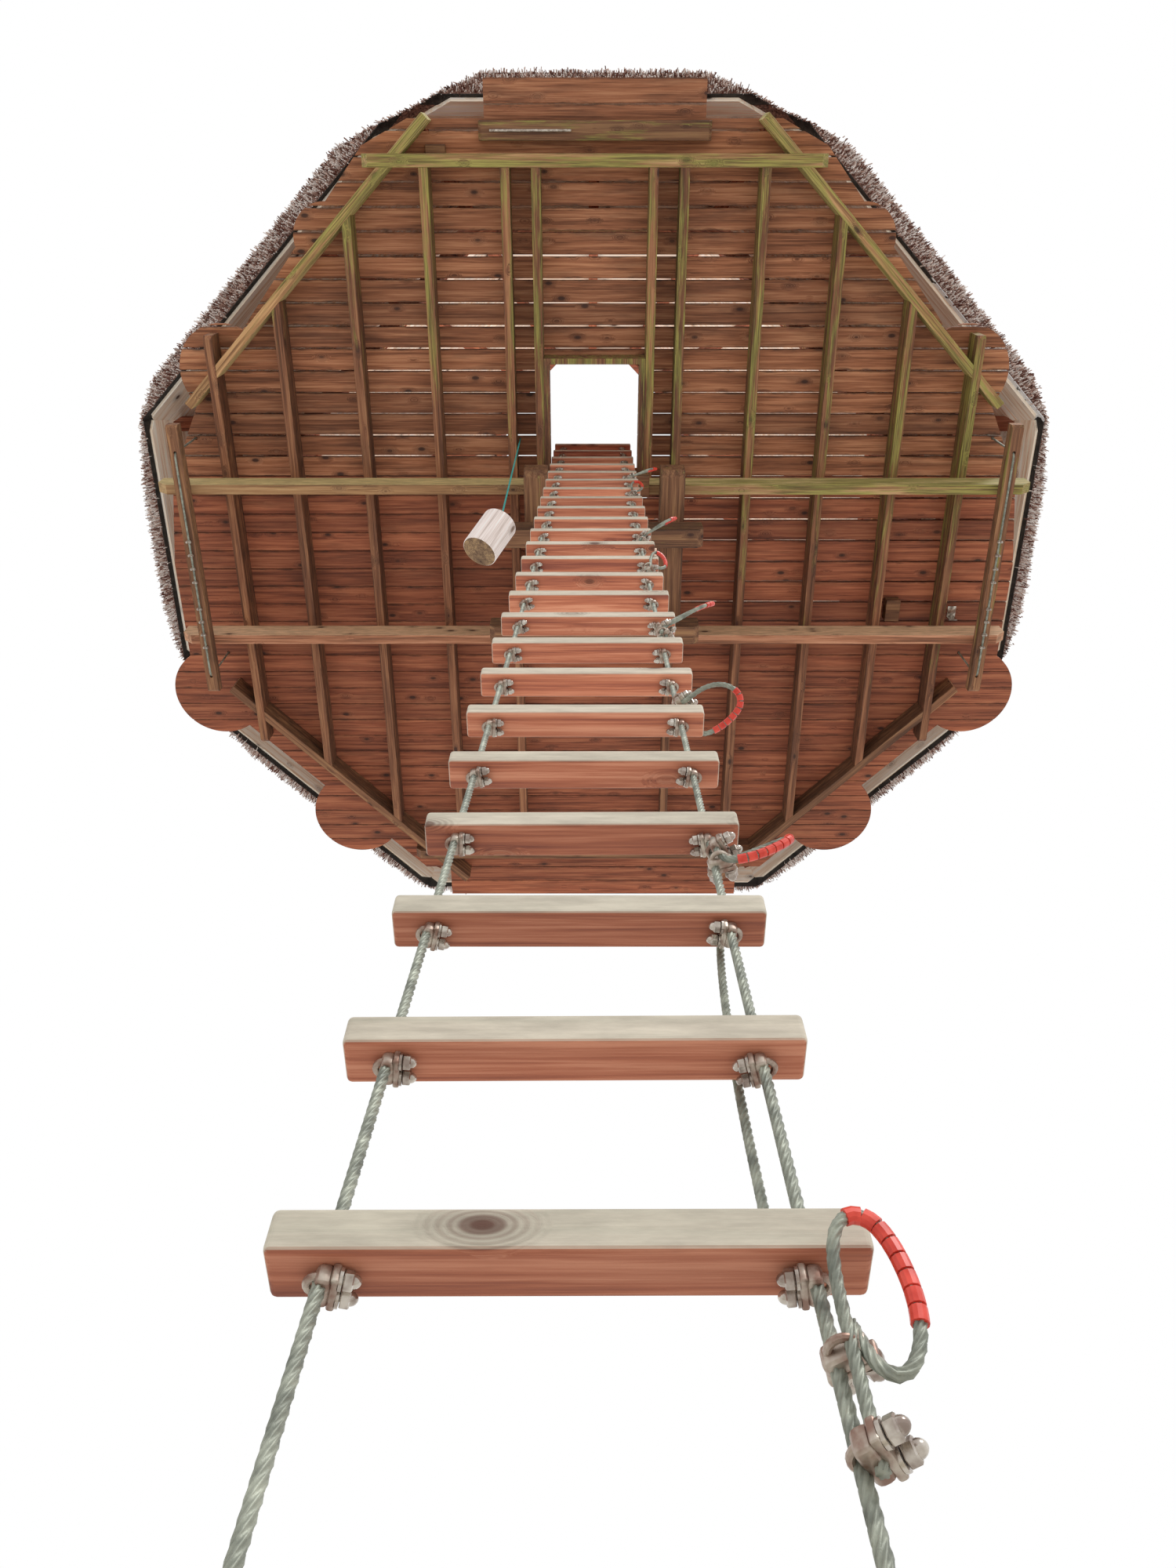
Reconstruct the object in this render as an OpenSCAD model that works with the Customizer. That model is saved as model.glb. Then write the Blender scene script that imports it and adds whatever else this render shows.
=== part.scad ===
// Tree house on a timber collar: an octagonal deck on two girders, a boarded room
// under a thatched roof with an open crown for the trunk, and a rope ladder to the ground.
// Lengths are in millimetres. The origin is the middle of the trunk-side face of the
// near clamp beam; +X is right, +Y is away from the ladder, +Z is up.

/* [Trunk and collar] */
// Distance from the trunk's axis to the clamp beams
trunk_r = 225; // [200:5:250]
// Length of each clamp beam
clamp_l = 1170; // [1100:10:1300]
// Width of each clamp beam
clamp_w = 100; // [80:5:110]
// Height of each clamp beam
clamp_h = 160; // [120:5:200]
// Width of each collar beam
collar_w = 130; // [110:5:140]
// Height of each collar beam
collar_h = 160; // [120:5:200]
// Near end of the collar beams
collar_y0 = -563; // [-600:1:-530]
// Far end of the collar beams
collar_y1 = 530; // [500:1:580]
// Left collar beam's centre line
collar_left_x = -316; // [-330:1:-312]
// Right collar beam's centre line
collar_right_x = 423; // [415:1:450]

/* [Girders and spreaders] */
// Height of the two girders
girder_h = 160; // [140:5:200]
// Thickness of the two girders
girder_t = 55; // [45:5:70]
// Near girder's centre line
girder_near_y = -425; // [-440:1:-420]
// Far girder's centre line
girder_far_y = 455; // [440:1:480]
// Reach of each girder past the side beams
girder_past = 165; // [120:5:200]
// Distance from the outermost joists to the side beams
side_beam_gap = 190; // [170:5:230]
// Width of each side beam
side_beam_w = 64; // [60:1:80]
// Height of each side beam
side_beam_h = 70; // [60:5:90]
// Near end of the side beams
side_beam_y0 = -785; // [-840:5:-720]
// Far end of the side beams
side_beam_y1 = 760; // [720:5:840]

/* [Joists] */
// Depth of the joists, headers and edge beams
joist_h = 150; // [120:5:180]
// Thickness of the joists
joist_t = 47; // [38:1:50]
// Distance from the middle to the first joist
joist_x1 = 455; // [450:1:460]
// Distance between joists
joist_pitch = 410; // [400:5:415]
// Distance from the last of these joists to the outermost joist
outer_joist_gap = 385; // [370:5:400]
// Reach of the outermost joists to each side
outer_joist_reach = 1205; // [1150:5:1250]
// Thickness of the headers
header_t = 62; // [50:1:70]
// Thickness of the slanting edge beams
edge_t = 47; // [38:1:60]
// Distance from the middle to each header
header_y = 2032; // [2020:2:2080]
// Half length of the headers
header_reach = 1175; // [1100:5:1200]
// Distance from the middle to the beam under the near nose
nose_beam_y = 2165; // [2140:5:2200]
// Distance from the middle to the slanting edge beams
edge_apothem = 2170; // [2160:2:2200]
// Reach of the edge beams along their own line
edge_reach = 980; // [940:10:1020]

/* [Deck] */
// Thickness of the deck boards
deck_t = 28; // [22:1:40]
// Reach of the deck to the left and right
deck_reach = 2500; // [2480:5:2520]
// Radius of the hole for the trunk
trunk_hole_r = 320; // [310:5:325]
// Left edge of the hatch
hatch_x0 = -245; // [-250:1:-243]
// Right edge of the hatch
hatch_x1 = 245; // [238:1:260]
// Near edge of the hatch
hatch_y0 = -1060; // [-1100:10:-1000]
// Far edge of the hatch
hatch_y1 = -468; // [-475:1:-465]
// Thickness of the boards that line the hatch
hatch_lining_t = 30; // [20:1:32]

/* [Room] */
// Place of the walls as a share of the way from the trunk to the eave
wall_part = 0.7; // [0.66:0.01:0.72]
// Thickness of the walls
wall_t = 80; // [60:5:100]
// Height of the walls and posts
wall_h = 1120; // [1050:10:1200]
// Diameter of the corner posts
post_d = 120; // [110:5:130]
// Depth of the ring beam on the walls
ring_h = 120; // [100:5:140]
// Width of the ring beam on the walls
ring_w = 100; // [80:5:120]
// Width of each window
window_w = 620; // [500:10:640]
// Height of each window
window_h = 500; // [400:10:560]
// Height of the window sills over the deck
sill_h = 400; // [350:10:450]
// Width of the window frames
frame_w = 45; // [35:1:60]

/* [Roof] */
// Height from the eave to where the slopes would meet
roof_rise = 3640; // [3500:10:3700]
// Distance from the trunk to the eave, left and right
eave_side = 2695; // [2680:1:2740]
// Distance from the trunk to the eave at the near corners
eave_near_corner = 2378; // [2350:1:2400]
// Distance from the trunk to the eave on the near side
eave_near = 2345; // [2330:1:2360]
// Distance from the trunk to the eave at the far corners
eave_far_corner = 2725; // [2680:1:2760]
// Distance from the trunk to the eave on the far side
eave_far = 2650; // [2620:1:2680]
// Thickness of the thatch
thatch_t = 200; // [180:5:220]
// Thickness of the roof boards with their membrane
soffit_t = 28; // [20:1:35]
// Depth of the rafters
rafter_h = 100; // [80:5:120]
// Thickness of the rafters
rafter_t = 60; // [45:5:70]
// Size of the open crown as a share of the way from the trunk to the eave
crown_part = 0.27; // [0.25:0.01:0.3]

/* [Ladder and ropes] */
// Length of each rung
rung_l = 463; // [440:1:480]
// Depth of each rung from front to back
rung_w = 55; // [45:1:60]
// Thickness of each rung
rung_h = 42; // [36:1:46]
// Number of rungs
rung_count = 30; // [28:1:30]
// Distance between rungs
rung_pitch = 292.3; // [285:0.1:295]
// Distance from the ends of the rungs to the ropes
rope_inset = 45; // [40:1:55]
// Diameter of the wire ropes
rope_d = 12; // [10:0.5:14]
// Place of the near hole for each side rope
side_rope_y0 = -640; // [-660:5:-620]
// Place of the far hole for each side rope
side_rope_y1 = 660; // [640:5:680]
// Diameter of the holes that the ropes pass through
rope_hole_d = 18; // [16:0.5:20]
// Diameter of the hanging log
log_d = 155; // [120:5:170]
// Length of the hanging log
log_l = 200; // [150:5:220]
// Diameter of the log's cord
log_cord_d = 8; // [6:0.5:10]

/* [Hidden] */

// Levels, from the middle of the clamp beams upward
collar_z = clamp_h / 2;
girder_z = collar_z + collar_h;
joist_z = girder_z + girder_h;
deck_z = joist_z + joist_h;
floor_z = deck_z + deck_t;
ring_z = floor_z + wall_h;
rise = roof_rise / eave_side;
roof_pitch = atan(rise);
rafter_drop = rafter_h / cos(roof_pitch);
soffit_drop = soffit_t / cos(roof_pitch);
thatch_rise = thatch_t / cos(roof_pitch);
// Depth of the notch by which the rafters sit over the ring beam
birdsmouth = 40;
// Height of the roof boards' underside at the eave
eave_z = ring_z + ring_h + rafter_drop - birdsmouth + ring_w / 2 * rise
    - (1 - wall_part) * roof_rise;

bevel = 35;
// The trunk stands a little right of the middle and beyond it
trunk_x = 55;
trunk_y = 35;

// Half width of the slanting edge beams, measured along X or Y
edge_half = edge_t / 2 * sqrt(2);
edge_sum = edge_apothem * sqrt(2);
header_in = header_y - header_t / 2;

// The ladder leans towards the trunk on its way up, and sags; its line is set from the
// height of a person's eyes up to the clamp beams
eye_z = -6260;
ladder_foot_y = -1394;
ladder_lean = 1058;
ladder_sag = 227;
// Level of the lowest rung, which lies under the eyes
rung_first_z = eye_z - 1117;
// The ladder drifts a little to the left on its way down
ladder_drift = 57;
ladder_top_x = -4;
rope_x = rung_l / 2 - rope_inset;
sling_z = 1500;

// The log hangs from the deck beside the first joist on the left
log_x = -joist_x1 + 37;
log_y = -640;
log_top_z = -1200;

function ladder_share(z) = (z - eye_z) / -eye_z;
function ladder_y(z) = let (h = ladder_share(z)) ladder_foot_y + ladder_lean * h
    - ladder_sag * h * h;
function rung_z(k) = rung_first_z + k * rung_pitch;
function ladder_x(z) = ladder_top_x - ladder_drift * (1 - (z - rung_first_z) / (rung_count * rung_pitch));
function rung_at(k) = [ladder_x(rung_z(k)), ladder_y(rung_z(k)), rung_z(k)];
function lean_at(z) = atan((ladder_lean - 2 * ladder_sag * ladder_share(z)) / -eye_z);
drift_angle = atan(ladder_drift / (rung_count * rung_pitch));

// Height of the roof boards' underside at a share of the way from the trunk to the eave
function soffit_z(part) = eave_z + (1 - part) * roof_rise;
function thatch_z(part) = soffit_z(part) + soffit_drop;

// Everything is drawn about the middle of the deck and then set against the near clamp beam
module placed() {
    translate([0, trunk_r - trunk_y, 0]) children();
}

// A squared beam along X with bevelled lower ends
module beam_x(x0, x1, y, t, z, h, cut = bevel) {
    translate([0, y + t / 2, 0]) rotate([90, 0, 0]) linear_extrude(t)
        polygon([[x0 + cut, z], [x1 - cut, z], [x1, z + cut], [x1, z + h], [x0, z + h], [x0, z + cut]]);
}

// A squared beam along Y with bevelled lower ends
module beam_y(x, t, y0, y1, z, h, cut = bevel) {
    translate([x - t / 2, 0, 0]) rotate([90, 0, 90]) linear_extrude(t)
        polygon([[y0 + cut, z], [y1 - cut, z], [y1, z + cut], [y1, z + h], [y0, z + h], [y0, z + cut]]);
}

// A round tube along a list of points, with a frame carried along so that it never twists
function unit(v) = v / norm(v);
function square_to(n, t) = unit(n - (n * t) * t);
function tangent(p, i) = unit(p[min(i + 1, len(p) - 1)] - p[max(i - 1, 0)]);
module tube(p, d, sides = 8, start = [1, 0, 0]) {
    last = len(p) - 1;
    t = [for (i = [0 : last]) tangent(p, i)];
    n = [for (i = 0, v = square_to(start, t[0]); i <= last;
        i = i + 1, v = square_to(v, t[min(i, last)])) v];
    rings = [for (i = [0 : last]) for (s = [0 : sides - 1])
        let (a = s * 360 / sides, b = cross(t[i], n[i]))
        p[i] + d / 2 * (cos(a) * n[i] + sin(a) * b)];
    walls = [for (i = [0 : last - 1]) for (s = [0 : sides - 1])
        let (e = (s + 1) % sides)
        [i * sides + s, (i + 1) * sides + s, (i + 1) * sides + e, i * sides + e]];
    foot = [for (s = [0 : sides - 1]) s];
    head = [for (s = [sides - 1 : -1 : 0]) last * sides + s];
    polyhedron(rings, concat([foot, head], walls), convexity = 6);
}

module clamp_beam(side) {
    y = trunk_y + side * (trunk_r + clamp_w / 2);
    beam_x(-clamp_l / 2, clamp_l / 2, y, clamp_w, -clamp_h / 2, clamp_h);
}

module clamp_beam_near() { color("#9a6a4e") placed() clamp_beam(-1); }
module clamp_beam_far() { color("#9a6a4e") placed() clamp_beam(1); }

module collar_beams() {
    color("#a06a50") placed()
        for (x = [collar_left_x, collar_right_x])
            beam_y(x, collar_w, collar_y0, collar_y1, collar_z, collar_h);
}

function joist_place(k) = joist_x1 + k * joist_pitch;
outer_joist_x = joist_place(3) + outer_joist_gap;
side_beam_x = outer_joist_x + side_beam_gap;
girder_reach = side_beam_x + girder_past;

module girder_near() {
    color("#8a8a4a") placed()
        beam_x(-girder_reach, girder_reach, girder_near_y, girder_t, girder_z, girder_h, 60);
}

module girder_far() {
    color("#b08860") placed()
        beam_x(-girder_reach, girder_reach, girder_far_y, girder_t, girder_z, girder_h, 60);
}

// A side beam hangs in the loop of its wire rope, under the ends of both girders
module side_beam(side) {
    x = side * side_beam_x;
    difference() {
        beam_y(x, side_beam_w, side_beam_y0, side_beam_y1,
            girder_z - side_beam_h, side_beam_h, 15);
        for (y = [side_rope_y0, side_rope_y1])
            translate([x, y, girder_z - side_beam_h - 1])
                cylinder(d = rope_hole_d, h = side_beam_h + 2, $fn = 24);
    }
}

module side_beam_left() { color("#96604a") placed() side_beam(-1); }
module side_beam_right() { color("#96604a") placed() side_beam(1); }

// Where a slanting edge beam's inner or outer face lies, across the deck at x
function edge_inner_y(x) = edge_sum - edge_half - abs(x);

// A joist stops at the header or is mitred against the edge beam
module joist(x) {
    x0 = x - joist_t / 2;
    x1 = x + joist_t / 2;
    y0 = min(header_in, edge_inner_y(x0));
    y1 = min(header_in, edge_inner_y(x1));
    translate([0, 0, joist_z]) linear_extrude(joist_h)
        polygon([[x0, -y0], [x1, -y1], [x1, y1], [x0, y0]]);
}

module outer_joist(x) {
    beam_y(x, joist_t, -outer_joist_reach, outer_joist_reach, joist_z, joist_h, 20);
}

// The hatch's trimmer joists run from the near header to the near girder
module trimmer(x) {
    y0 = -header_in;
    y1 = girder_near_y + girder_t / 2;
    translate([x - joist_t / 2, y0, joist_z]) cube([joist_t, y1 - y0, joist_h]);
}

module joists_left() {
    color("#925a45") placed() {
        for (k = [0 : 3]) joist(-joist_place(k));
        outer_joist(-outer_joist_x);
        trimmer(hatch_x0 - hatch_lining_t - joist_t / 2);
    }
}

module joists_right() {
    color("#925a45") placed() {
        for (k = [0 : 3]) joist(joist_place(k));
        outer_joist(outer_joist_x);
        trimmer(hatch_x1 + hatch_lining_t + joist_t / 2);
    }
}

module header_near() {
    color("#7c7c40") placed()
        beam_x(-header_reach, header_reach, -header_y, header_t, joist_z, joist_h);
}

module header_far() {
    color("#a06a52") placed()
        beam_x(-header_reach, header_reach, header_y, header_t, joist_z, joist_h);
}

// A short beam under the near nose carries the ends of its boards
nose_beam_t = 90;
nose_beam_h = 60;
module nose_beam() {
    x = header_reach / 2;
    color("#84604a") placed()
        beam_x(-x, x, -nose_beam_y, nose_beam_t, deck_z - nose_beam_h, nose_beam_h, 15);
}

// An edge beam crosses the header and the outermost joist; both are let through it
module edge_beam(side_x, side_y) {
    difference() {
        rotate([0, 0, atan2(side_y, side_x)])
            translate([edge_apothem - edge_t / 2, -edge_reach, joist_z])
                cube([edge_t, 2 * edge_reach, joist_h]);
        translate([side_x > 0 ? 0 : -edge_apothem, side_y * header_y - header_t / 2, joist_z - 1])
            cube([edge_apothem, header_t, joist_h + 2]);
        translate([side_x * outer_joist_x - joist_t / 2, side_y > 0 ? 0 : -edge_apothem, joist_z - 1])
            cube([joist_t, edge_apothem, joist_h + 2]);
    }
}

module edge_beams_near() {
    color("#84803f") placed() for (side = [-1, 1]) edge_beam(side, -1);
}

module edge_beams_far() {
    color("#96604a") placed() for (side = [-1, 1]) edge_beam(side, 1);
}

// Boards that line the hatch on three sides; the girder closes the fourth
module hatch_lining() {
    x0 = hatch_x0 - hatch_lining_t;
    x1 = hatch_x1 + hatch_lining_t;
    color("#8a5a44") placed() difference() {
        translate([x0, hatch_y0 - hatch_lining_t, joist_z])
            cube([x1 - x0, girder_near_y - girder_t / 2 - hatch_y0 + hatch_lining_t, joist_h]);
        translate([hatch_x0, hatch_y0, joist_z - 1])
            cube([hatch_x1 - hatch_x0, -hatch_y0, joist_h + 2]);
    }
}

// The plank under the near girder that the ladder leans on
rest_rung = 26;
rest_t = 60;
rest_x1 = collar_right_x - collar_w / 2 - 58;
module ladder_rest() {
    y0 = rung_at(rest_rung)[1] + rung_w / 2 + 0.5;
    y1 = girder_near_y + girder_t / 2;
    x0 = collar_left_x + collar_w / 2;
    color("#a8694c") placed() translate([x0, y0, girder_z - rest_t])
        cube([rest_x1 - x0, y1 - y0, rest_t]);
}

// The deck's wavy outline: an octagon with a nose at each end and a round lobe at each
// corner, all as shares of the deck's reach
deck_half = [[0.452, 0.888], [1, 0.34], [1, 0.04], [0.972, -0.16], [0.892, -0.324],
    [0.74, -0.52], [0.476, -0.84], [0.38, -0.888]];
nose_near = [0.224, 0.96] * deck_reach;
nose_far = [0.388, 0.976] * deck_reach;
// Each lobe's place and radius
deck_lobes = [[0.94, 0.368, 0.112], [0.624, 0.72, 0.114], [0.816, -0.4, 0.1],
    [0.564, -0.668, 0.07]];
module deck_solid() {
    other = [for (i = [len(deck_half) - 1 : -1 : 0]) [-deck_half[i][0], deck_half[i][1]]];
    linear_extrude(deck_t) polygon(deck_reach * concat(deck_half, other));
    for (side = [-1, 1]) for (lobe = deck_lobes * deck_reach)
        translate([side * lobe[0], lobe[1], 0]) cylinder(r = lobe[2], h = deck_t, $fn = 48);
    translate([-nose_near[0], -nose_near[1], 0])
        cube([2 * nose_near[0], nose_near[1], deck_t]);
    translate([-nose_far[0], 0, 0]) cube([2 * nose_far[0], nose_far[1], deck_t]);
}

// One zone of the deck between two lines across it
deck_wide = 1.2 * deck_reach;
module deck_zone(y0, y1) {
    deep = 3 * deck_t;
    translate([0, 0, deck_z]) difference() {
        intersection() {
            deck_solid();
            translate([-deck_wide, y0, -deck_t]) cube([2 * deck_wide, y1 - y0, deep]);
        }
        translate([trunk_x, trunk_y, -deck_t]) cylinder(r = trunk_hole_r, h = deep, $fn = 48);
        translate([hatch_x0, hatch_y0, -deck_t])
            cube([hatch_x1 - hatch_x0, hatch_y1 - hatch_y0, deep]);
        for (x = [-side_beam_x, side_beam_x]) for (y = [side_rope_y0, side_rope_y1])
            translate([x, y, -deck_t]) cylinder(d = rope_hole_d, h = deep, $fn = 24);
    }
}

module deck_near() { color("#9c5f4a") placed() deck_zone(-deck_wide, girder_near_y); }
module deck_middle() { color("#a06450") placed() deck_zone(girder_near_y, girder_far_y); }
module deck_far() { color("#9a5a45") placed() deck_zone(girder_far_y, deck_wide); }

// The roof and the room under it share one eight-sided shape. The distance of each side
// from the trunk is that of the eave times a part: 1 at the eave, less towards the crown.
eave = [eave_side, eave_far_corner, eave_far, eave_far_corner, eave_side,
    eave_near_corner, eave_near, eave_near_corner];
// How far the line of side k runs on from its middle before it meets the line of side m
function run(k, m) = (eave[m % 8] - eave[k % 8] * cos(45)) / sin(45);
function run_on(k) = run(k, k + 1);
function run_back(k) = run(k, k + 7);
function along_side(k, v) = [eave[k % 8] * cos(45 * k) - v * sin(45 * k),
    eave[k % 8] * sin(45 * k) + v * cos(45 * k)];
function corner_at(k) = along_side(k, run_on(k));
function outline(part) = [for (k = [0 : 7]) part * corner_at(k)];

// The corner posts stand on the deck at the room's corners
module corner_posts() {
    color("#8f5c44") placed() for (p = outline(wall_part))
        translate([p[0], p[1], floor_z]) cylinder(d = post_d, h = wall_h, $fn = 32);
}

module shape_ring(inner, outer, z, h) {
    translate([0, 0, z]) linear_extrude(h) difference() {
        polygon(outline(outer));
        polygon(outline(inner));
    }
}

ring_half = ring_w / 2 / eave_side;
module ring_solid() {
    shape_ring(wall_part - ring_half, wall_part + ring_half, ring_z, ring_h);
}

module ring_beam() { color("#96624a") placed() ring_solid(); }

// A rafter under the roof boards; reach is the distance to the eave along its own line
rafter_part = 0.935;
kerb_part = crown_part + 0.016;
module rafter(angle, reach, lower = 0) {
    function under(part) = soffit_z(part) - rafter_drop - lower;
    rotate([0, 0, angle]) translate([0, rafter_t / 2, 0]) rotate([90, 0, 0])
        linear_extrude(rafter_t) polygon([
            [kerb_part * reach, under(kerb_part)],
            [rafter_part * reach, under(rafter_part)],
            [rafter_part * reach, soffit_z(rafter_part) - lower],
            [kerb_part * reach, soffit_z(kerb_part) - lower]]);
}

// The hips are set lower, so that their square tops clear both slopes
hip_lower = rafter_t / 2 * 0.6 * roof_rise / eave_near;
module rafters() {
    color("#8c5540") placed() difference() {
        for (k = [0 : 7]) {
            rafter(45 * k, eave[k]);
            rafter(atan2(corner_at(k)[1], corner_at(k)[0]), norm(corner_at(k)), hip_lower);
        }
        ring_solid();
        for (side = [-1, 1]) rope_purlin(side);
    }
}

// A purlin let into the rafters on each side carries the side ropes
purlin_w = 80;
purlin_h = 110;
purlin_past = 60;
purlin_set = 50;
purlin_y0 = side_rope_y0 - purlin_past;
purlin_y1 = corner_at(0)[1] * side_beam_x / eave_side + purlin_past;
purlin_z = soffit_z(side_beam_x / eave_side) - rafter_drop - purlin_set - purlin_h;
module rope_purlin(side) {
    translate([side * side_beam_x - purlin_w / 2, purlin_y0, purlin_z])
        cube([purlin_w, purlin_y1 - purlin_y0, purlin_h]);
}

module rope_purlins() {
    color("#8f5c44") placed() for (side = [-1, 1]) rope_purlin(side);
}

// The roof boards go round the whole shape in one layer, cut at its corners
boards_part = 0.985;
boards_inset = 60;
module roof_boards() {
    rings = [[kerb_part, 0], [boards_part, 0], [boards_part, soffit_drop],
        [kerb_part, soffit_drop]];
    points = [for (r = rings) for (p = outline(r[0])) [p[0], p[1], soffit_z(r[0]) + r[1]]];
    faces = [for (i = [0 : 3]) for (k = [0 : 7])
        let (j = (i + 1) % 4, n = (k + 1) % 8) [i * 8 + n, i * 8 + k, j * 8 + k, j * 8 + n]];
    color("#a86a55") placed() intersection() {
        polyhedron(points, faces);
        thatch_limit(boards_inset);
    }
}

kerb_top = 40;
module crown_kerb() {
    z0 = soffit_z(kerb_part) - rafter_drop;
    z1 = thatch_z(kerb_part) + thatch_rise + kerb_top;
    color("#8c5540") placed() shape_ring(crown_part, kerb_part, z0, z1 - z0);
}

// The thatch's upper edge overhangs its lower edge, and its corners are cut
thatch_out = 1.045;
corner_cut = [0.92, 0.955, 0.955, 0.92, 0.958, 0.93, 0.93, 0.958];
module thatch_limit(inset = 0) {
    cut = [for (k = [0 : 7]) corner_cut[k] * thatch_out * norm(corner_at(k)) - inset];
    translate([0, 0, eave_z - thatch_rise]) linear_extrude(roof_rise + 2 * thatch_rise)
        intersection_for(k = [0 : 7])
        rotate([0, 0, atan2(corner_at(k)[1], corner_at(k)[0])])
            translate([cut[k] - 4 * eave_side, -2 * eave_side])
                square([4 * eave_side, 4 * eave_side]);
}

// One side of the thatch, mitred on the hips
module thatch(k) {
    section = [[kerb_part, thatch_z(kerb_part)], [1, thatch_z(1)],
        [thatch_out, thatch_z(thatch_out) + thatch_rise],
        [kerb_part, thatch_z(kerb_part) + thatch_rise]];
    points = [for (p = [corner_at(k + 7), corner_at(k)]) for (r = section)
        [r[0] * p[0], r[0] * p[1], r[1]]];
    color("#b98a72") placed() intersection() {
        polyhedron(points, [[3, 2, 1, 0], [4, 5, 6, 7], [0, 1, 5, 4], [1, 2, 6, 5],
            [2, 3, 7, 6], [3, 0, 4, 7]]);
        thatch_limit();
    }
}

module thatch_right() { thatch(0); }
module thatch_far_right() { thatch(1); }
module thatch_far() { thatch(2); }
module thatch_far_left() { thatch(3); }
module thatch_left() { thatch(4); }
module thatch_near_left() { thatch(5); }
module thatch_near() { thatch(6); }
module thatch_near_right() { thatch(7); }

// A window's outline, drawn upright in the plane of its wall
module window_shape(k, grow = 0) {
    translate([wall_middle(k) - window_w / 2 - grow, sill_h - grow])
        square([window_w + 2 * grow, window_h + 2 * grow]);
}

// The wall on side k runs from post to post and has a window in its middle
function wall_v0(k) = -wall_part * run_back(k) + post_d / 2;
function wall_v1(k) = wall_part * run_on(k) - post_d / 2;
function wall_middle(k) = (wall_v0(k) + wall_v1(k)) / 2;
module wall_place(k) {
    rotate([0, 0, 45 * k]) translate([wall_part * eave[k], 0, floor_z]) rotate([90, 0, 90])
        children();
}

module wall(k) {
    color("#8f5a46") placed() wall_place(k) translate([0, 0, -wall_t / 2])
        linear_extrude(wall_t) difference() {
            translate([wall_v0(k), 0]) square([wall_v1(k) - wall_v0(k), wall_h]);
            window_shape(k);
        }
}

module wall_right() { wall(0); }
module wall_far_right() { wall(1); }
module wall_far() { wall(2); }
module wall_far_left() { wall(3); }
module wall_left() { wall(4); }
module wall_near_left() { wall(5); }
module wall_near() { wall(6); }
module wall_near_right() { wall(7); }

module window_frames() {
    color("#c8a883") placed() for (k = [0 : 7])
        wall_place(k) translate([0, 0, -wall_t / 2]) linear_extrude(wall_t)
            difference() {
                window_shape(k);
                window_shape(k, -frame_w);
            }
}

glass_t = 6;
module window_glass() {
    color("#bcd0d4") placed() for (k = [0 : 7])
        wall_place(k) translate([0, 0, -glass_t / 2]) linear_extrude(glass_t)
            window_shape(k, -frame_w);
}

// A side rope hangs from its purlin and passes under its side beam; its two ends lap
// under the beam and are held by two groups of four clips
clip_l = 24;
clip_t = 14;
clip_drop = 30;
clip_pitch = 78;
clip_groups = [-155, 238];
module side_rope(side) {
    x = side * side_beam_x;
    low = girder_z - side_beam_h - rope_d / 2;
    high = purlin_z - rope_d / 2;
    turn = 30;
    down = [for (a = [0 : 30 : 90]) [turn * (1 - cos(a)), low + turn * (1 - sin(a))]];
    near = concat([[x, side_rope_y0, high]], [for (p = down) [x, side_rope_y0 + p[0], p[1]]]);
    far = concat([for (i = [3 : -1 : 0]) [x, side_rope_y1 - down[i][0], down[i][1]]],
        [[x, side_rope_y1, high]]);
    tube(concat(near, far), rope_d, 10);
    for (y0 = clip_groups) for (i = [0 : 3])
        translate([x - clip_l / 2, y0 + i * clip_pitch - clip_t / 2, low - rope_d / 2 - clip_drop])
            cube([clip_l, clip_t, clip_drop]);
    for (y = [side_rope_y0, side_rope_y1])
        translate([x, y, high - 20]) cylinder(d = 40, h = 20 + rope_d / 2, $fn = 24);
}

module side_rope_left() { color("#8f9288") placed() side_rope(-1); }
module side_rope_right() { color("#8f9288") placed() side_rope(1); }

// The ladder's rope runs up one side, round the trunk over the hatch and down the other side
function rope_at(side, z) = [ladder_x(z) + side * rope_x, ladder_y(z), z];
tail_z = rung_first_z - 120;
sling_r = trunk_r + rope_d;
sling_from = 200;
module ladder_line(d) {
    levels = concat([tail_z], [for (k = [0 : rung_count - 1]) rung_z(k)]);
    sling = [for (a = [sling_from : -20 : 180 - sling_from])
        [trunk_x + sling_r * cos(a), trunk_y + sling_r * sin(a), sling_z]];
    tube(concat([for (z = levels) rope_at(-1, z)], sling,
        [for (i = [len(levels) - 1 : -1 : 0]) rope_at(1, levels[i])]), d, 8);
}

module ladder_rope() { color("#8f9288") placed() ladder_line(rope_d); }

module lean(z) {
    rotate([-lean_at(z), drift_angle, 0]) children();
}

module rung(k) {
    translate(rung_at(k)) difference() {
        rotate([90, 0, 90]) translate([0, 0, -rung_l / 2]) linear_extrude(rung_l)
            polygon([[-rung_w / 2, -rung_h / 2 + 4], [-rung_w / 2 + 4, -rung_h / 2],
                [rung_w / 2 - 4, -rung_h / 2], [rung_w / 2, -rung_h / 2 + 4],
                [rung_w / 2, rung_h / 2 - 4], [rung_w / 2 - 4, rung_h / 2],
                [-rung_w / 2 + 4, rung_h / 2], [-rung_w / 2, rung_h / 2 - 4]]);
        for (x = [-rope_x, rope_x]) translate([x, 0, 0]) lean(rung_z(k))
            translate([0, 0, -rung_h]) cylinder(d = rope_d + 1, h = 2 * rung_h, $fn = 16);
    }
}

module rungs() { color("#b5745a") placed() for (k = [0 : rung_count - 1]) rung(k); }

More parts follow.
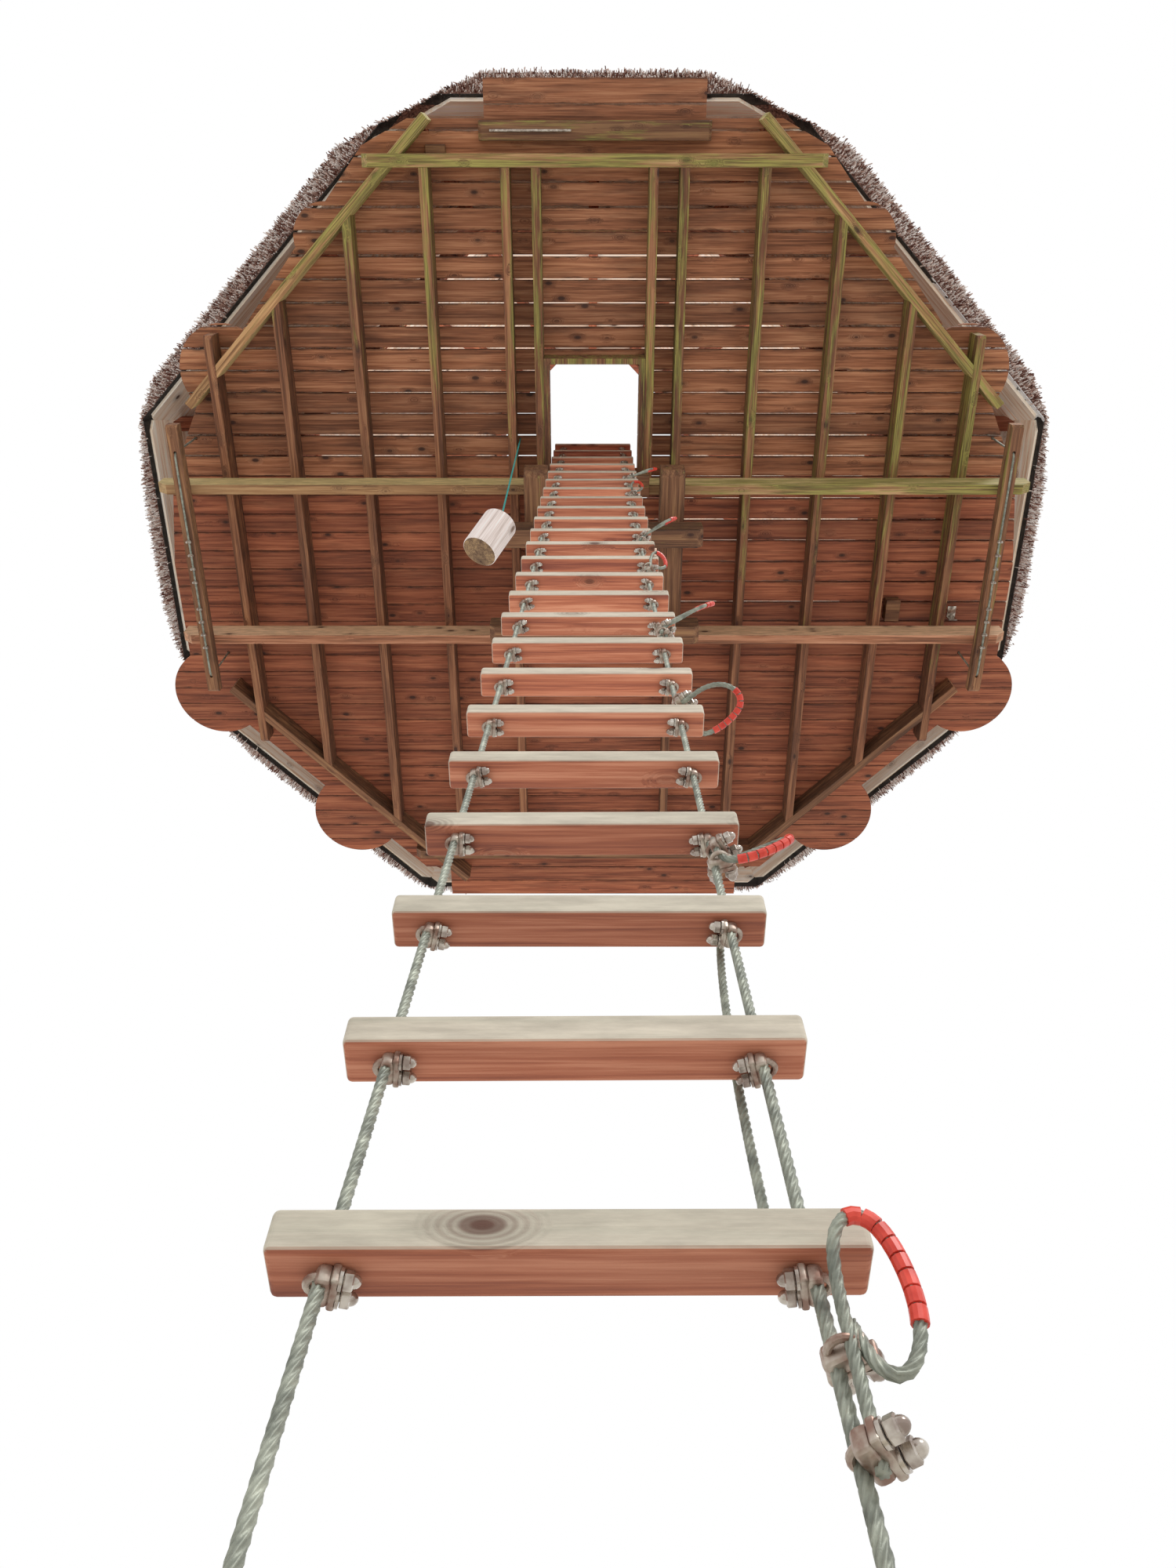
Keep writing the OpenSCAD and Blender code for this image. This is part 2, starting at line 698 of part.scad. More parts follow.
// A clip is tightened on the rope under each end of each rung
clip_d = 26;
clip_h = 16;
clip_arm = 34;
module rung_clip(side, k) {
    z = rung_z(k) - rung_h / 2 - clip_h;
    translate(rope_at(side, z)) difference() {
        union() {
            cylinder(d = clip_d, h = clip_h, $fn = 24);
            translate([side > 0 ? -clip_arm : 0, -9, 0]) cube([clip_arm, 18, clip_h]);
        }
        lean(z) translate([0, 0, -clip_h])
            cylinder(d = rope_d + 0.4, h = 4 * clip_h, $fn = 16);
    }
}

module rung_clips() {
    color("#9a9890") placed() for (k = [0 : rung_count - 1]) for (side = [-1, 1])
        rung_clip(side, k);
}

// Short loops of wire rope stand out from the right rope as hand holds
loop_rungs = [6, 8, 11, 14, 17, 19, 23, 25];
loop_w = 80;
loop_h = 130;
loop_d = 10;
module hand_loop(k) {
    z = rung_z(k) + rung_h / 2 + 15 + loop_h / 2;
    slope = tan(lean_at(z));
    drift = tan(drift_angle);
    translate(rope_at(1, z) + [rope_d / 2 + 0.2, 0, 0])
        tube([for (a = [-90 : 15 : 90]) let (h = loop_h / 2 * sin(a))
            [loop_w * cos(a) + h * drift, h * slope, h]], loop_d, 8, [0, 1, 0]);
}

module hand_loops() { color("#7f8a4a") placed() for (k = loop_rungs) hand_loop(k); }

// It hangs askew, with its lower end to the left and away
log_tilt = 35;
log_turn = 135;
module hanging_log() {
    color("#9a7350") placed() translate([log_x, log_y, log_top_z])
        rotate([0, 0, log_turn]) rotate([0, -log_tilt, 0]) translate([0, 0, -log_l])
            cylinder(d = log_d, h = log_l, $fn = 32);
}

module log_cord() {
    z0 = log_top_z;
    steps = 16;
    color("#3fb8b0") placed() tube([for (i = [0 : steps])
        [log_x, log_y, z0 + (deck_z - z0) * i / steps]], log_cord_d, 8);
}

clamp_beam_near();
clamp_beam_far();
collar_beams();
girder_near();
girder_far();
side_beam_left();
side_beam_right();
joists_left();
joists_right();
header_near();
header_far();
nose_beam();
edge_beams_near();
edge_beams_far();
hatch_lining();
ladder_rest();
deck_near();
deck_middle();
deck_far();
corner_posts();
ring_beam();
rafters();
rope_purlins();
roof_boards();
crown_kerb();
thatch_right();
thatch_far_right();
thatch_far();
thatch_far_left();
thatch_left();
thatch_near_left();
thatch_near();
thatch_near_right();
wall_right();
wall_far_right();
wall_far();
wall_far_left();
wall_left();
wall_near_left();
wall_near();
wall_near_right();
window_frames();
window_glass();
side_rope_left();
side_rope_right();
ladder_rope();
rungs();
rung_clips();
hand_loops();
hanging_log();
log_cord();
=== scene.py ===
"""Looks of a thatched tree house with its rope ladder. Lengths are in metres, in the row frame."""

import math
import random

import bmesh
import bpy
import numpy as np
from mathutils import Matrix, Vector


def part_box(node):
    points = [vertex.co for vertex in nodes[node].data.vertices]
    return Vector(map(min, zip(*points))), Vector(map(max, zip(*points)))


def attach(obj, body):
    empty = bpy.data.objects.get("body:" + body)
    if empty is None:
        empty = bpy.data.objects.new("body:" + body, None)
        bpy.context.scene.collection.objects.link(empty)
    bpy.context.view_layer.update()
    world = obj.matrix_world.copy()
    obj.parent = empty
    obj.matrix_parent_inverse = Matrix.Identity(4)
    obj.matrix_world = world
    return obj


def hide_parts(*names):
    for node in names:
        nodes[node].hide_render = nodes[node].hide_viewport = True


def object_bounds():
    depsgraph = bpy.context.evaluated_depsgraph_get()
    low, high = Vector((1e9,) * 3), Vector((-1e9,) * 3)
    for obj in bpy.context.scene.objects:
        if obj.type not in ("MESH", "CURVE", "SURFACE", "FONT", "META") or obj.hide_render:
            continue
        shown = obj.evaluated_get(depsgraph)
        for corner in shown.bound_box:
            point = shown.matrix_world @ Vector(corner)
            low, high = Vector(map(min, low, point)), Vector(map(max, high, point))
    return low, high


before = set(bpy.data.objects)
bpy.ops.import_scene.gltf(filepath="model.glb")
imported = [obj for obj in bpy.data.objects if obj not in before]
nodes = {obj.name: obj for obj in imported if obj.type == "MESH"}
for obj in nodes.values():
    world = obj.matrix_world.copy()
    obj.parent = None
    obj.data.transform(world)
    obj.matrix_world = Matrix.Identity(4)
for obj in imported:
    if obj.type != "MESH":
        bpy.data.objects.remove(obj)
cad_low, cad_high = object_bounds()

UP = Vector((0, 0, 1))
RIGHT = Vector((1, 0, 0))
AWAY = Vector((0, 1, 0))
STILL = Matrix.Identity(4)

# Where the view is taken from, its tilt from straight down, and its lens and sensor in mm
EYE = (-0.035, -1.85, -6.26)
VIEW_TILT = math.radians(152)
LENS = 27
SENSOR = 36

# The deck's middle lies this far beyond the origin, and its middle boards meet at this X
DECK_Y = 0.19
MEET_X = 0.055

# The ladder's wire rope: the length of one turn of its strands, how far from the rungs' ends
# it runs, its sling above the hatch and its tail below the lowest rung
ROPE_D = 0.012
ROPE_LAY = 0.078
ROPE_FROM_END = 0.045
SLING_Y = DECK_Y + 0.035
SLING_Z = 1.5
SLING_R = 0.237
TAIL = 0.12

# The hand loops' thinner rope
LOOP_D = 0.0105
LOOP_LAY = 0.066

# The log's cord hangs from the deck's underside
CORD_D = 0.008
CORD_LAY = 0.04
CORD_TOP = (-0.418, -0.45, 0.55)
CORD_LENGTH = 1.75


def srgb(code):
    """A hex colour as the linear values that a shader takes."""
    parts = [int(code[i:i + 2], 16) / 255 for i in (1, 3, 5)]
    return (*[c / 12.92 if c <= 0.04045 else ((c + 0.055) / 1.055) ** 2.4 for c in parts], 1)


def per(millimetres):
    """The texture scale at which one cell of a pattern has that size."""
    return 1000 / millimetres


def add(tree, kind, sockets=None, stops=None, **settings):
    """Adds a shader node; each socket takes a value or the output of another node."""
    node = tree.nodes.new("ShaderNode" + kind)
    for key, value in settings.items():
        setattr(node, key, value)
    for key, value in (sockets or {}).items():
        if isinstance(value, bpy.types.NodeSocket):
            tree.links.new(value, node.inputs[key])
        else:
            node.inputs[key].default_value = value
    for i, (position, code) in enumerate(stops or []):
        elements = node.color_ramp.elements
        element = elements[i] if i < 2 else elements.new(position)
        element.position = position
        element.color = srgb(code)
    return node


def finish_of(name, roughness, metallic=0.0):
    """A new material with its tree and shader."""
    material = bpy.data.materials.new(name)
    material.use_nodes = True
    tree = material.node_tree
    shader = tree.nodes["Principled BSDF"]
    shader.inputs["Roughness"].default_value = roughness
    shader.inputs["Metallic"].default_value = metallic
    return material, tree, shader


def dress(tree, shader, colour, relief=None, strength=0.0, depth=0.0):
    """Gives a shader its colour, and its relief where it has one; depth is in metres."""
    tree.links.new(colour, shader.inputs["Base Color"])
    if relief:
        bump = add(tree, "Bump", {"Height": relief, "Strength": strength, "Distance": depth})
        tree.links.new(bump.outputs[0], shader.inputs["Normal"])


# Sizes of the patterns in wood, in millimetres: along the grain, across it and through it
KNOT_CELL = (150, 78, 78)
FINE_STREAK = (300, 6, 6)
WIDE_STREAK = (800, 26, 26)
STAIN_BLOT = (420, 70, 70)
DIRT_CRUMB = (80, 16, 16)
ALGAE_PATCH = (420, 34, 34)

# A knot's core and its rings fade out between these shares of its cell
CORE_EDGE = (0.09, 0.17)
RINGS_EDGE = (0.14, 0.38)
RINGS_A_CELL = 110.0
GRAIN_BEND = 0.035

KNOT_BROWN = "#3c2118"
EDGE_DIRT = "#35261c"
ALGAE_SHADES = ("#5a5329", "#a9a552")


def stretched(size):
    """The texture scale of a pattern that is drawn out along the grain."""
    return tuple(per(s) for s in size)


def drawn_noise(tree, grain, size, detail, roughness, distortion=0.0):
    """Noise that is drawn out along the grain."""
    spread = add(tree, "Mapping", {"Vector": grain, "Scale": stretched(size)})
    noise = add(tree, "TexNoise", {"Vector": spread.outputs[0], "Scale": 1.0, "Detail": detail,
                                   "Roughness": roughness, "Distortion": distortion})
    return noise.outputs[0]


def wood_knots(tree, grain, knotty):
    """How much of a knot, and of the rings round it, there is at each place.

    Knots are up to 50 mm long. About one cell in three holds one, and fewer do where
    knotty is higher.
    """
    spread = add(tree, "Mapping", {"Vector": grain, "Scale": stretched(KNOT_CELL)})
    cells = add(tree, "TexVoronoi", {"Vector": spread.outputs[0], "Scale": 1.0})
    away = cells.outputs["Distance"]
    chosen = add(tree, "MapRange", {0: cells.outputs["Color"], 1: knotty, 2: knotty + 0.04})
    core = add(tree, "MapRange", {0: away, 1: CORE_EDGE[0], 2: CORE_EDGE[1], 3: 0.92, 4: 0.0})
    years = add(tree, "Math", {0: away, 1: RINGS_A_CELL}, operation="MULTIPLY")
    wave = add(tree, "Math", {0: years.outputs[0]}, operation="SINE")
    darker = add(tree, "MapRange", {0: wave.outputs[0], 1: -1.0, 2: 1.0, 3: 0.16, 4: 0.6})
    ring = add(tree, "MapRange", {0: away, 1: RINGS_EDGE[0], 2: RINGS_EDGE[1],
                                  3: darker.outputs[0], 4: 0.0})
    knots = add(tree, "Math", {0: core.outputs[0], 1: chosen.outputs[0]}, operation="MULTIPLY")
    halos = add(tree, "Math", {0: ring.outputs[0], 1: chosen.outputs[0]}, operation="MULTIPLY")
    return knots.outputs[0], halos.outputs[0]


def wood_streaks(tree, grain, halos):
    """Early and late wood, fine and then mixed with wide; both bend round each knot."""
    bend = add(tree, "Math", {0: halos, 1: GRAIN_BEND}, operation="MULTIPLY")
    shift = add(tree, "CombineXYZ", {1: bend.outputs[0], 2: bend.outputs[0]})
    bent = add(tree, "VectorMath", {0: grain, 1: shift.outputs[0]}, operation="ADD")
    streaks = drawn_noise(tree, bent.outputs[0], FINE_STREAK, 4.0, 0.65, 0.3)
    bands = drawn_noise(tree, bent.outputs[0], WIDE_STREAK, 4.0, 0.6, 0.5)
    most = add(tree, "Math", {0: bands, 1: 0.6}, operation="MULTIPLY")
    mixed = add(tree, "Math", {0: streaks, 1: 0.4, 2: most.outputs[0]},
                operation="MULTIPLY_ADD")
    return streaks, mixed.outputs[0]


def wood_stains(tree, grain, colour, stain, dirt):
    """Rain and resin stains, drawn out along each board."""
    blots = drawn_noise(tree, grain, STAIN_BLOT, 4.0, 0.6)
    stained = add(tree, "MapRange", {0: blots, 1: 0.5, 2: 0.72, 3: 0.0, 4: 0.6 * dirt})
    mix = add(tree, "Mix", {0: stained.outputs[0], 6: colour, 7: srgb(stain)},
              data_type="RGBA")
    return mix.outputs[2]


def wood_weathering_and_light(tree, mixed, colour, weathered_and_lit):
    """All faces but the undersides are paler, with the grain standing out: partly bleaching by
    rain, partly painted sunlight.
    """
    normal = add(tree, "NewGeometry").outputs["Normal"]
    facing = add(tree, "SeparateXYZ", {0: normal})
    # Painted sunlight and bleaching: every face that does not look down takes the paler colour
    exposed = add(tree, "MapRange", {0: facing.outputs["Z"], 1: -0.8, 2: -0.4, 3: 0.0,
                                     4: 0.82})
    bleached_and_lit = add(tree, "Mix", {0: exposed.outputs[0], 6: colour, 7: srgb(weathered_and_lit)},
                   data_type="RGBA")
    lines = add(tree, "Mix", {0: 0.55, 6: bleached_and_lit.outputs[2], 7: mixed},
                data_type="RGBA", blend_type="SOFT_LIGHT")
    return lines.outputs[2]


def wood_dirt(tree, grain, colour, dirt):
    """Dirt gathers in crumbs along both edges of a board."""
    crumbs = drawn_noise(tree, grain, DIRT_CRUMB, 4.0, 0.65)
    across = add(tree, "Attribute", attribute_name="across").outputs["Fac"]
    rim = add(tree, "Math", {0: across}, operation="ABSOLUTE")
    ragged = add(tree, "Math", {0: crumbs, 1: 0.9, 2: rim.outputs[0]},
                 operation="MULTIPLY_ADD")
    grime = add(tree, "MapRange", {0: ragged.outputs[0], 1: 1.3, 2: 1.58, 3: 0.0, 4: dirt})
    dirty = add(tree, "Mix", {0: grime.outputs[0], 6: colour, 7: srgb(EDGE_DIRT)},
                data_type="RGBA")
    return dirty.outputs[2]


def wood_algae(tree, grain, streaks, colour, algae):
    """Algae on the near edge and the right side, thinning out towards the far left."""
    place = add(tree, "TexCoord").outputs["Object"]
    side = add(tree, "SeparateXYZ", {0: place})
    damp = add(tree, "Math", {0: side.outputs["X"], 1: -0.45, 2: side.outputs["Y"]},
               operation="MULTIPLY_ADD")
    shade = add(tree, "MapRange", {0: damp.outputs[0], 1: 0.35, 2: -0.9, 3: -0.1,
                                   4: 0.2 * algae})
    patches = drawn_noise(tree, grain, ALGAE_PATCH, 5.0, 0.68)
    grown = add(tree, "Math", {0: patches, 1: shade.outputs[0]}, operation="ADD")
    cover = add(tree, "MapRange", {0: grown.outputs[0], 1: 0.56, 2: 0.7, 3: 0.0, 4: 0.82})
    green = add(tree, "ValToRGB", {0: streaks},
                stops=[(0.38, ALGAE_SHADES[0]), (0.62, ALGAE_SHADES[1])])
    mossy = add(tree, "Mix", {0: cover.outputs[0], 6: colour, 7: green.outputs[0]},
                data_type="RGBA")
    return mossy.outputs[2]


def softwood(name, shades, knot=KNOT_BROWN, algae=0.0, weathered_and_lit=None, dirt=0.7, knotty=0.56):
    """Sawn softwood: growth rings as streaks, dark knots, dirty edges, and algae in the shade.

    shades are its dark, middle and pale colours; the weathered colour, where given, goes on all
    faces but the undersides, and is partly bleaching by rain and partly painted sunlight.
    """
    material, tree, shader = finish_of(name, 0.74)
    grain = add(tree, "Attribute", attribute_name="grain").outputs["Vector"]
    tone = add(tree, "Attribute", attribute_name="tone").outputs["Fac"]
    knots, halos = wood_knots(tree, grain, knotty)
    streaks, mixed = wood_streaks(tree, grain, halos)

    # Each board has its own tone
    base = add(tree, "ValToRGB", {0: mixed},
               stops=[(0.38, shades[0]), (0.6, shades[2]), (0.49, shades[1])])
    value = add(tree, "Math", {0: tone, 1: 0.2, 2: 1.0}, operation="MULTIPLY_ADD")
    toned = add(tree, "HueSaturation", {"Value": value.outputs[0], "Color": base.outputs[0]})
    colour = wood_stains(tree, grain, toned.outputs[0], knot, dirt)
    if weathered_and_lit:
        colour = wood_weathering_and_light(tree, mixed, colour, weathered_and_lit)
    for amount in (halos, knots):
        dark = add(tree, "Mix", {0: amount, 6: colour, 7: srgb(knot)}, data_type="RGBA")
        colour = dark.outputs[2]
    colour = wood_dirt(tree, grain, colour, dirt)
    if algae:
        colour = wood_algae(tree, grain, streaks, colour, algae)
    dress(tree, shader, colour, streaks, strength=0.45, depth=0.0015)
    return material


def galvanised_wire():
    """Hot-dipped steel wire, laid up in strands: dull grey with a green cast."""
    material, tree, shader = finish_of("galvanised_wire", 0.5, 0.35)
    place = add(tree, "TexCoord").outputs["Object"]
    patches = add(tree, "TexNoise", {"Vector": place, "Scale": per(22), "Detail": 4.0})
    tint = add(tree, "ValToRGB", {0: patches.outputs[0]},
               stops=[(0.35, "#787c72"), (0.7, "#b1b5a6")])
    wires = add(tree, "TexNoise", {"Vector": place, "Scale": per(1.6), "Detail": 2.0})
    dress(tree, shader, tint.outputs[0], wires.outputs[0], strength=0.3, depth=0.0006)
    return material


def cast_clip_steel(name, shades, roughness):
    """Cast and zinc-plated steel: bright metal with a warm bloom of rust."""
    material, tree, shader = finish_of(name, roughness, 0.8)
    place = add(tree, "TexCoord").outputs["Object"]
    bloom = add(tree, "TexNoise", {"Vector": place, "Scale": per(14), "Detail": 3.0})
    tint = add(tree, "ValToRGB", {0: bloom.outputs[0]},
               stops=[(0.35, shades[0]), (0.65, shades[1])])
    dress(tree, shader, tint.outputs[0], bloom.outputs[0], strength=0.25, depth=0.0008)
    return material


def vinyl_tape():
    """Red vinyl tape wound on the hand loops: smooth, with a soft gloss and faded patches."""
    material, tree, shader = finish_of("vinyl_tape", 0.36)
    place = add(tree, "TexCoord").outputs["Object"]
    faded = add(tree, "TexNoise", {"Vector": place, "Scale": per(18), "Detail": 3.0})
    tint = add(tree, "ValToRGB", {0: faded.outputs[0]},
               stops=[(0.35, "#c9301f"), (0.65, "#ec5140")])
    dress(tree, shader, tint.outputs[0])
    return material


def reed_thatch(name, laid_up=False):
    """Cut reed: thin stems from pale pink to brown."""
    material, tree, shader = finish_of(name, 0.85)
    place = add(tree, "TexCoord").outputs["Object"]
    patches = add(tree, "TexNoise", {"Vector": place, "Scale": per(190), "Detail": 4.0})
    relief = None
    if laid_up:
        # Under the loose stems the thatch is painted dark, in clumps 14 mm wide: painted shade in
        # the depth of the thatch
        clumps = add(tree, "TexNoise", {"Vector": place, "Scale": per(14), "Detail": 5.0})
        tint = add(tree, "ValToRGB", {0: clumps.outputs[0]},
                   stops=[(0.35, "#4a2f26"), (0.7, "#9a7263")])
        relief = clumps.outputs[0]
    else:
        tone = add(tree, "Attribute", attribute_name="tone").outputs["Fac"]
        both = add(tree, "Math", {0: tone, 1: 0.3, 2: patches.outputs[0]},
                   operation="MULTIPLY_ADD")
        tint = add(tree, "ValToRGB", {0: both.outputs[0]},
                   stops=[(0.15, "#74483c"), (0.86, "#fffaf6"), (0.5, "#d9b9ab")])
    dress(tree, shader, tint.outputs[0], relief, strength=0.8, depth=0.01)
    return material


def roofing_felt():
    """Bitumen felt under the thatch: black, slightly crinkled."""
    material, tree, shader = finish_of("roofing_felt", 0.62)
    place = add(tree, "TexCoord").outputs["Object"]
    creases = add(tree, "TexNoise", {"Vector": place, "Scale": per(35), "Detail": 4.0})
    tint = add(tree, "ValToRGB", {0: creases.outputs[0]},
               stops=[(0.3, "#141211"), (0.75, "#3a3532")])
    # On the near right it is painted pale: painted sunlight glaring on the black felt
    parts = add(tree, "SeparateXYZ", {0: place})
    right = add(tree, "MapRange", {0: parts.outputs["X"], 1: 1.75, 2: 1.95})
    near = add(tree, "MapRange", {0: parts.outputs["Y"], 1: -0.3, 2: -0.5})
    both = add(tree, "Math", {0: right.outputs[0], 1: near.outputs[0]}, operation="MULTIPLY")
    glare_with_creases = add(tree, "Math", {0: both.outputs[0], 1: creases.outputs[0]}, operation="ADD")
    painted_glare = add(tree, "MapRange", {0: glare_with_creases.outputs[0], 1: 1.35, 2: 1.42})
    mix = add(tree, "Mix", {0: painted_glare.outputs[0], 6: tint.outputs[0], 7: srgb("#eef0f3")},
              data_type="RGBA")
    dress(tree, shader, mix.outputs[2], creases.outputs[0], strength=0.6, depth=0.006)
    return material


def window_glass():
    """Float glass: clear, faintly green, with slow waves."""
    material, tree, shader = finish_of("float_glass", 0.04)
    shader.inputs["Base Color"].default_value = srgb("#dfeae6")
    shader.inputs["Transmission Weight"].default_value = 0.85
    shader.inputs["IOR"].default_value = 1.5
    place = add(tree, "TexCoord").outputs["Object"]
    waves = add(tree, "TexNoise", {"Vector": place, "Scale": per(160)})
    bump = add(tree, "Bump", {"Height": waves.outputs[0], "Strength": 0.1, "Distance": 0.001})
    tree.links.new(bump.outputs[0], shader.inputs["Normal"])
    return material


def braided_nylon():
    """Turquoise nylon cord: braided, so it has a fine diamond pattern."""
    material, tree, shader = finish_of("braided_nylon", 0.5)
    place = add(tree, "TexCoord").outputs["Object"]
    braid = add(tree, "TexWave", {"Vector": place, "Scale": per(12), "Distortion": 2.0},
                bands_direction="Z")
    tint = add(tree, "ValToRGB", {0: braid.outputs[1]},
               stops=[(0.2, "#2a938f"), (0.8, "#58cdc6")])
    dress(tree, shader, tint.outputs[0], braid.outputs[1], strength=0.5, depth=0.001)
    return material


# Larch boards, red-brown with stain: the near ones are browner, and dirtier at the gaps
stained_boards = softwood("stained_larch_boards", ("#6d4028", "#9e6343", "#bd8460"), dirt=0.85)
shaded_boards = softwood("stained_larch_boards_tight", ("#6b3623", "#9c563a", "#b8714f"))

# Pine timbers, stained brown and dull; algae greens the joists more than the beams
joist_timber = softwood("stained_pine_joists", ("#56331f", "#845338", "#a67552"), algae=0.6)
beam_timber = softwood("stained_pine_beams", ("#5a3a26", "#82573c", "#a37853"), algae=0.15)

# Unstained pine out in the rain: yellow-green with algae, and straw-pale on all but its
# undersides, partly bleached and partly painted sunlight
mossy_timber = softwood("mossy_pine_beams", ("#7f5b3b", "#ab7f55", "#c89e70"), algae=0.9,
                        weathered_and_lit="#ecd596", dirt=0.4)
girder_timber = softwood("weathered_sunlit_pine_girder", ("#6f4732", "#9f684a", "#bf886a"),
                         weathered_and_lit="#f6cda4", dirt=0.35)

# Planed pine of the window frames: clean and pale yellow
pale_timber = softwood("planed_pine_beams", ("#b07c52", "#d8a473", "#eac497"), dirt=0.35)

# Planed larch of the rungs: warm pink below, silver-grey on the other faces, partly weathered by
# rain and partly painted sunlight
rung_timber = softwood("planed_larch_rungs", ("#82493a", "#a56248", "#bd7d62"),
                       weathered_and_lit="#dad8c6", knot="#5e3424", dirt=0.25, knotty=0.66)

# Sawn pine of the soffit, out of the weather: its near-white colour is painted sunlight
sunlit_soffit_boards = softwood("sawn_pine_soffit_painted_sunlit", ("#dcb898", "#fae8d2", "#fff8ee"), dirt=0.12)

# The log: smooth pale sapwood outside, and darker, dirty end grain
log_wood = softwood("barked_log", ("#c6b5ae", "#ecdfdb", "#faf3f2"), knot="#8a7262",
                    dirt=0.1, knotty=0.7)
log_end = softwood("cut_log_end", ("#553d29", "#7d6248", "#a3855f"), dirt=0.3)

wire = galvanised_wire()
clip_steel = cast_clip_steel("cast_clip_steel", ("#8d7063", "#c2b8ab"), 0.42)
nut_steel = cast_clip_steel("plated_nut_steel", ("#94857c", "#d2cbc1"), 0.22)
tape = vinyl_tape()
reed = reed_thatch("cut_reed")
shaded_reed_bed = reed_thatch("shaded_reed_bed", laid_up=True)
felt = roofing_felt()
glass = window_glass()
nylon = braided_nylon()


def coordinates(mesh):
    """The places of a mesh's vertices, one row each."""
    flat = np.empty(len(mesh.vertices) * 3)
    mesh.vertices.foreach_get("co", flat)
    return flat.reshape(-1, 3)


def solid_labels(mesh):
    """The number of the separate solid that each vertex belongs to."""
    parent = list(range(len(mesh.vertices)))

    def root(i):
        while parent[i] != i:
            parent[i] = parent[parent[i]]
            i = parent[i]
        return i

    for edge in mesh.edges:
        a, b = (root(i) for i in edge.vertices)
        parent[max(a, b)] = min(a, b)
    roots = [root(i) for i in range(len(parent))]
    order = {r: n for n, r in enumerate(sorted(set(roots)))}
    return np.array([order[r] for r in roots])


# A direction within 10 degrees of an axis is taken as that axis, and one within 37 degrees
# of upright counts as upright. Each board's grain starts up to 20 m away in the pattern
NEARLY_SQUARE = 0.985
NEARLY_UPRIGHT = 0.8
GRAIN_SHIFT = 20


def long_axis(points):
    """The direction in which a solid is longest, set square where it nearly is."""
    axis = np.linalg.svd(points - points.mean(0), full_matrices=False)[2][0]
    largest = np.abs(axis).argmax()
    if abs(axis[largest]) > NEARLY_SQUARE:
        axis = np.eye(3)[largest]
    return Vector(axis)


def axes_about(along):
    """Three square directions, the first of them along a board."""
    along = Vector(along).normalized()
    upright = UP if abs(along.z) < NEARLY_UPRIGHT else AWAY
    across = upright.cross(along).normalized()
    return along, across, along.cross(across)


def give_grain(mesh, seed, along=None, paler=None):
    """Writes on each separate solid where its grain runs, its tone and its two edges.

    paler holds heights, and how much painted light is added to the tone there.
    """
    points = coordinates(mesh)
    labels = solid_labels(mesh)
    draw = random.Random(seed)
    grain = np.zeros_like(points)
    tone = np.zeros(len(points))
    across = np.zeros(len(points))
    for label in range(labels.max() + 1):
        mine = labels == label
        turn = np.array(axes_about(along or long_axis(points[mine])))
        local = points[mine] @ turn.T
        grain[mine] = local + [draw.uniform(-GRAIN_SHIFT, GRAIN_SHIFT) for _ in range(3)]
        tone[mine] = draw.uniform(-1, 1)
        low, high = local[:, 1].min(), local[:, 1].max()
        across[mine] = (2 * local[:, 1] - low - high) / (high - low)
    if paler:
        tone += np.interp(points[:, 2], *paler)
    store(mesh, "grain", "FLOAT_VECTOR", grain)
    store(mesh, "tone", "FLOAT", tone)
    store(mesh, "across", "FLOAT", across)


def store(mesh, name, kind, values):
    """Writes one value for each vertex."""
    attribute = mesh.attributes.new(name, kind, "POINT")
    field = "vector" if kind == "FLOAT_VECTOR" else "value"
    attribute.data.foreach_set(field, np.asarray(values, np.float32).ravel())


def piece(mesh, material, replaced=(), smooth=False, crease=None):
    """Puts a mesh in the scene as a piece of the tree house; crease keeps sharp edges sharp."""
    mesh.materials.clear()
    mesh.materials.append(material)
    mesh.polygons.foreach_set("use_smooth", [smooth] * len(mesh.polygons))
    if crease:
        mesh.set_sharp_from_angle(angle=crease)
    thing = bpy.data.objects.new(mesh.name, mesh)
    bpy.context.scene.collection.objects.link(thing)
    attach(thing, "root")
    if replaced:
        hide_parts(*replaced)
    return thing


def refinish(node, material):
    """Gives a CAD node that stays in sight its material."""
    nodes[node].data.materials.clear()
    nodes[node].data.materials.append(material)


def mesh_of(name, points, faces):
    """A mesh from its points and faces."""
    mesh = bpy.data.meshes.new(name)
    mesh.from_pydata([tuple(p) for p in points], [], faces)
    mesh.update()
    return mesh


# Points nearer than this are one point, faces that turn less than this are one face, and
# edges that turn more than this get an arris
WELD = 1e-5
FLAT = math.radians(0.6)
SHARP = math.radians(24)
ARRIS = 0.003
FINE_ARRIS = 0.002


def whole_solid(node):
    """A copy of a CAD node with its seams joined and each flat face in one."""
    bm = bmesh.new()
    bm.from_mesh(nodes[node].data)
    bmesh.ops.remove_doubles(bm, verts=bm.verts, dist=WELD)
    bmesh.ops.dissolve_limit(bm, angle_limit=FLAT, verts=bm.verts, edges=bm.edges)
    return bm


def settled(name, bm):
    """The mesh of an edited solid, which is then let go."""
    mesh = bpy.data.meshes.new(name)
    bm.to_mesh(mesh)
    bm.free()
    return mesh


def timber(node, material, arris=ARRIS):
    """A CAD node's timbers with eased arrises and their own grain."""
    bm = whole_solid(node)
    edges = [e for e in bm.edges if len(e.link_faces) == 2 and e.calc_face_angle(0) > SHARP]
    bmesh.ops.bevel(bm, geom=edges, offset=arris, segments=2, profile=0.6, affect="EDGES",
                    clamp_overlap=True)
    mesh = settled(node + "_timber", bm)
    give_grain(mesh, node)
    piece(mesh, material, [node])


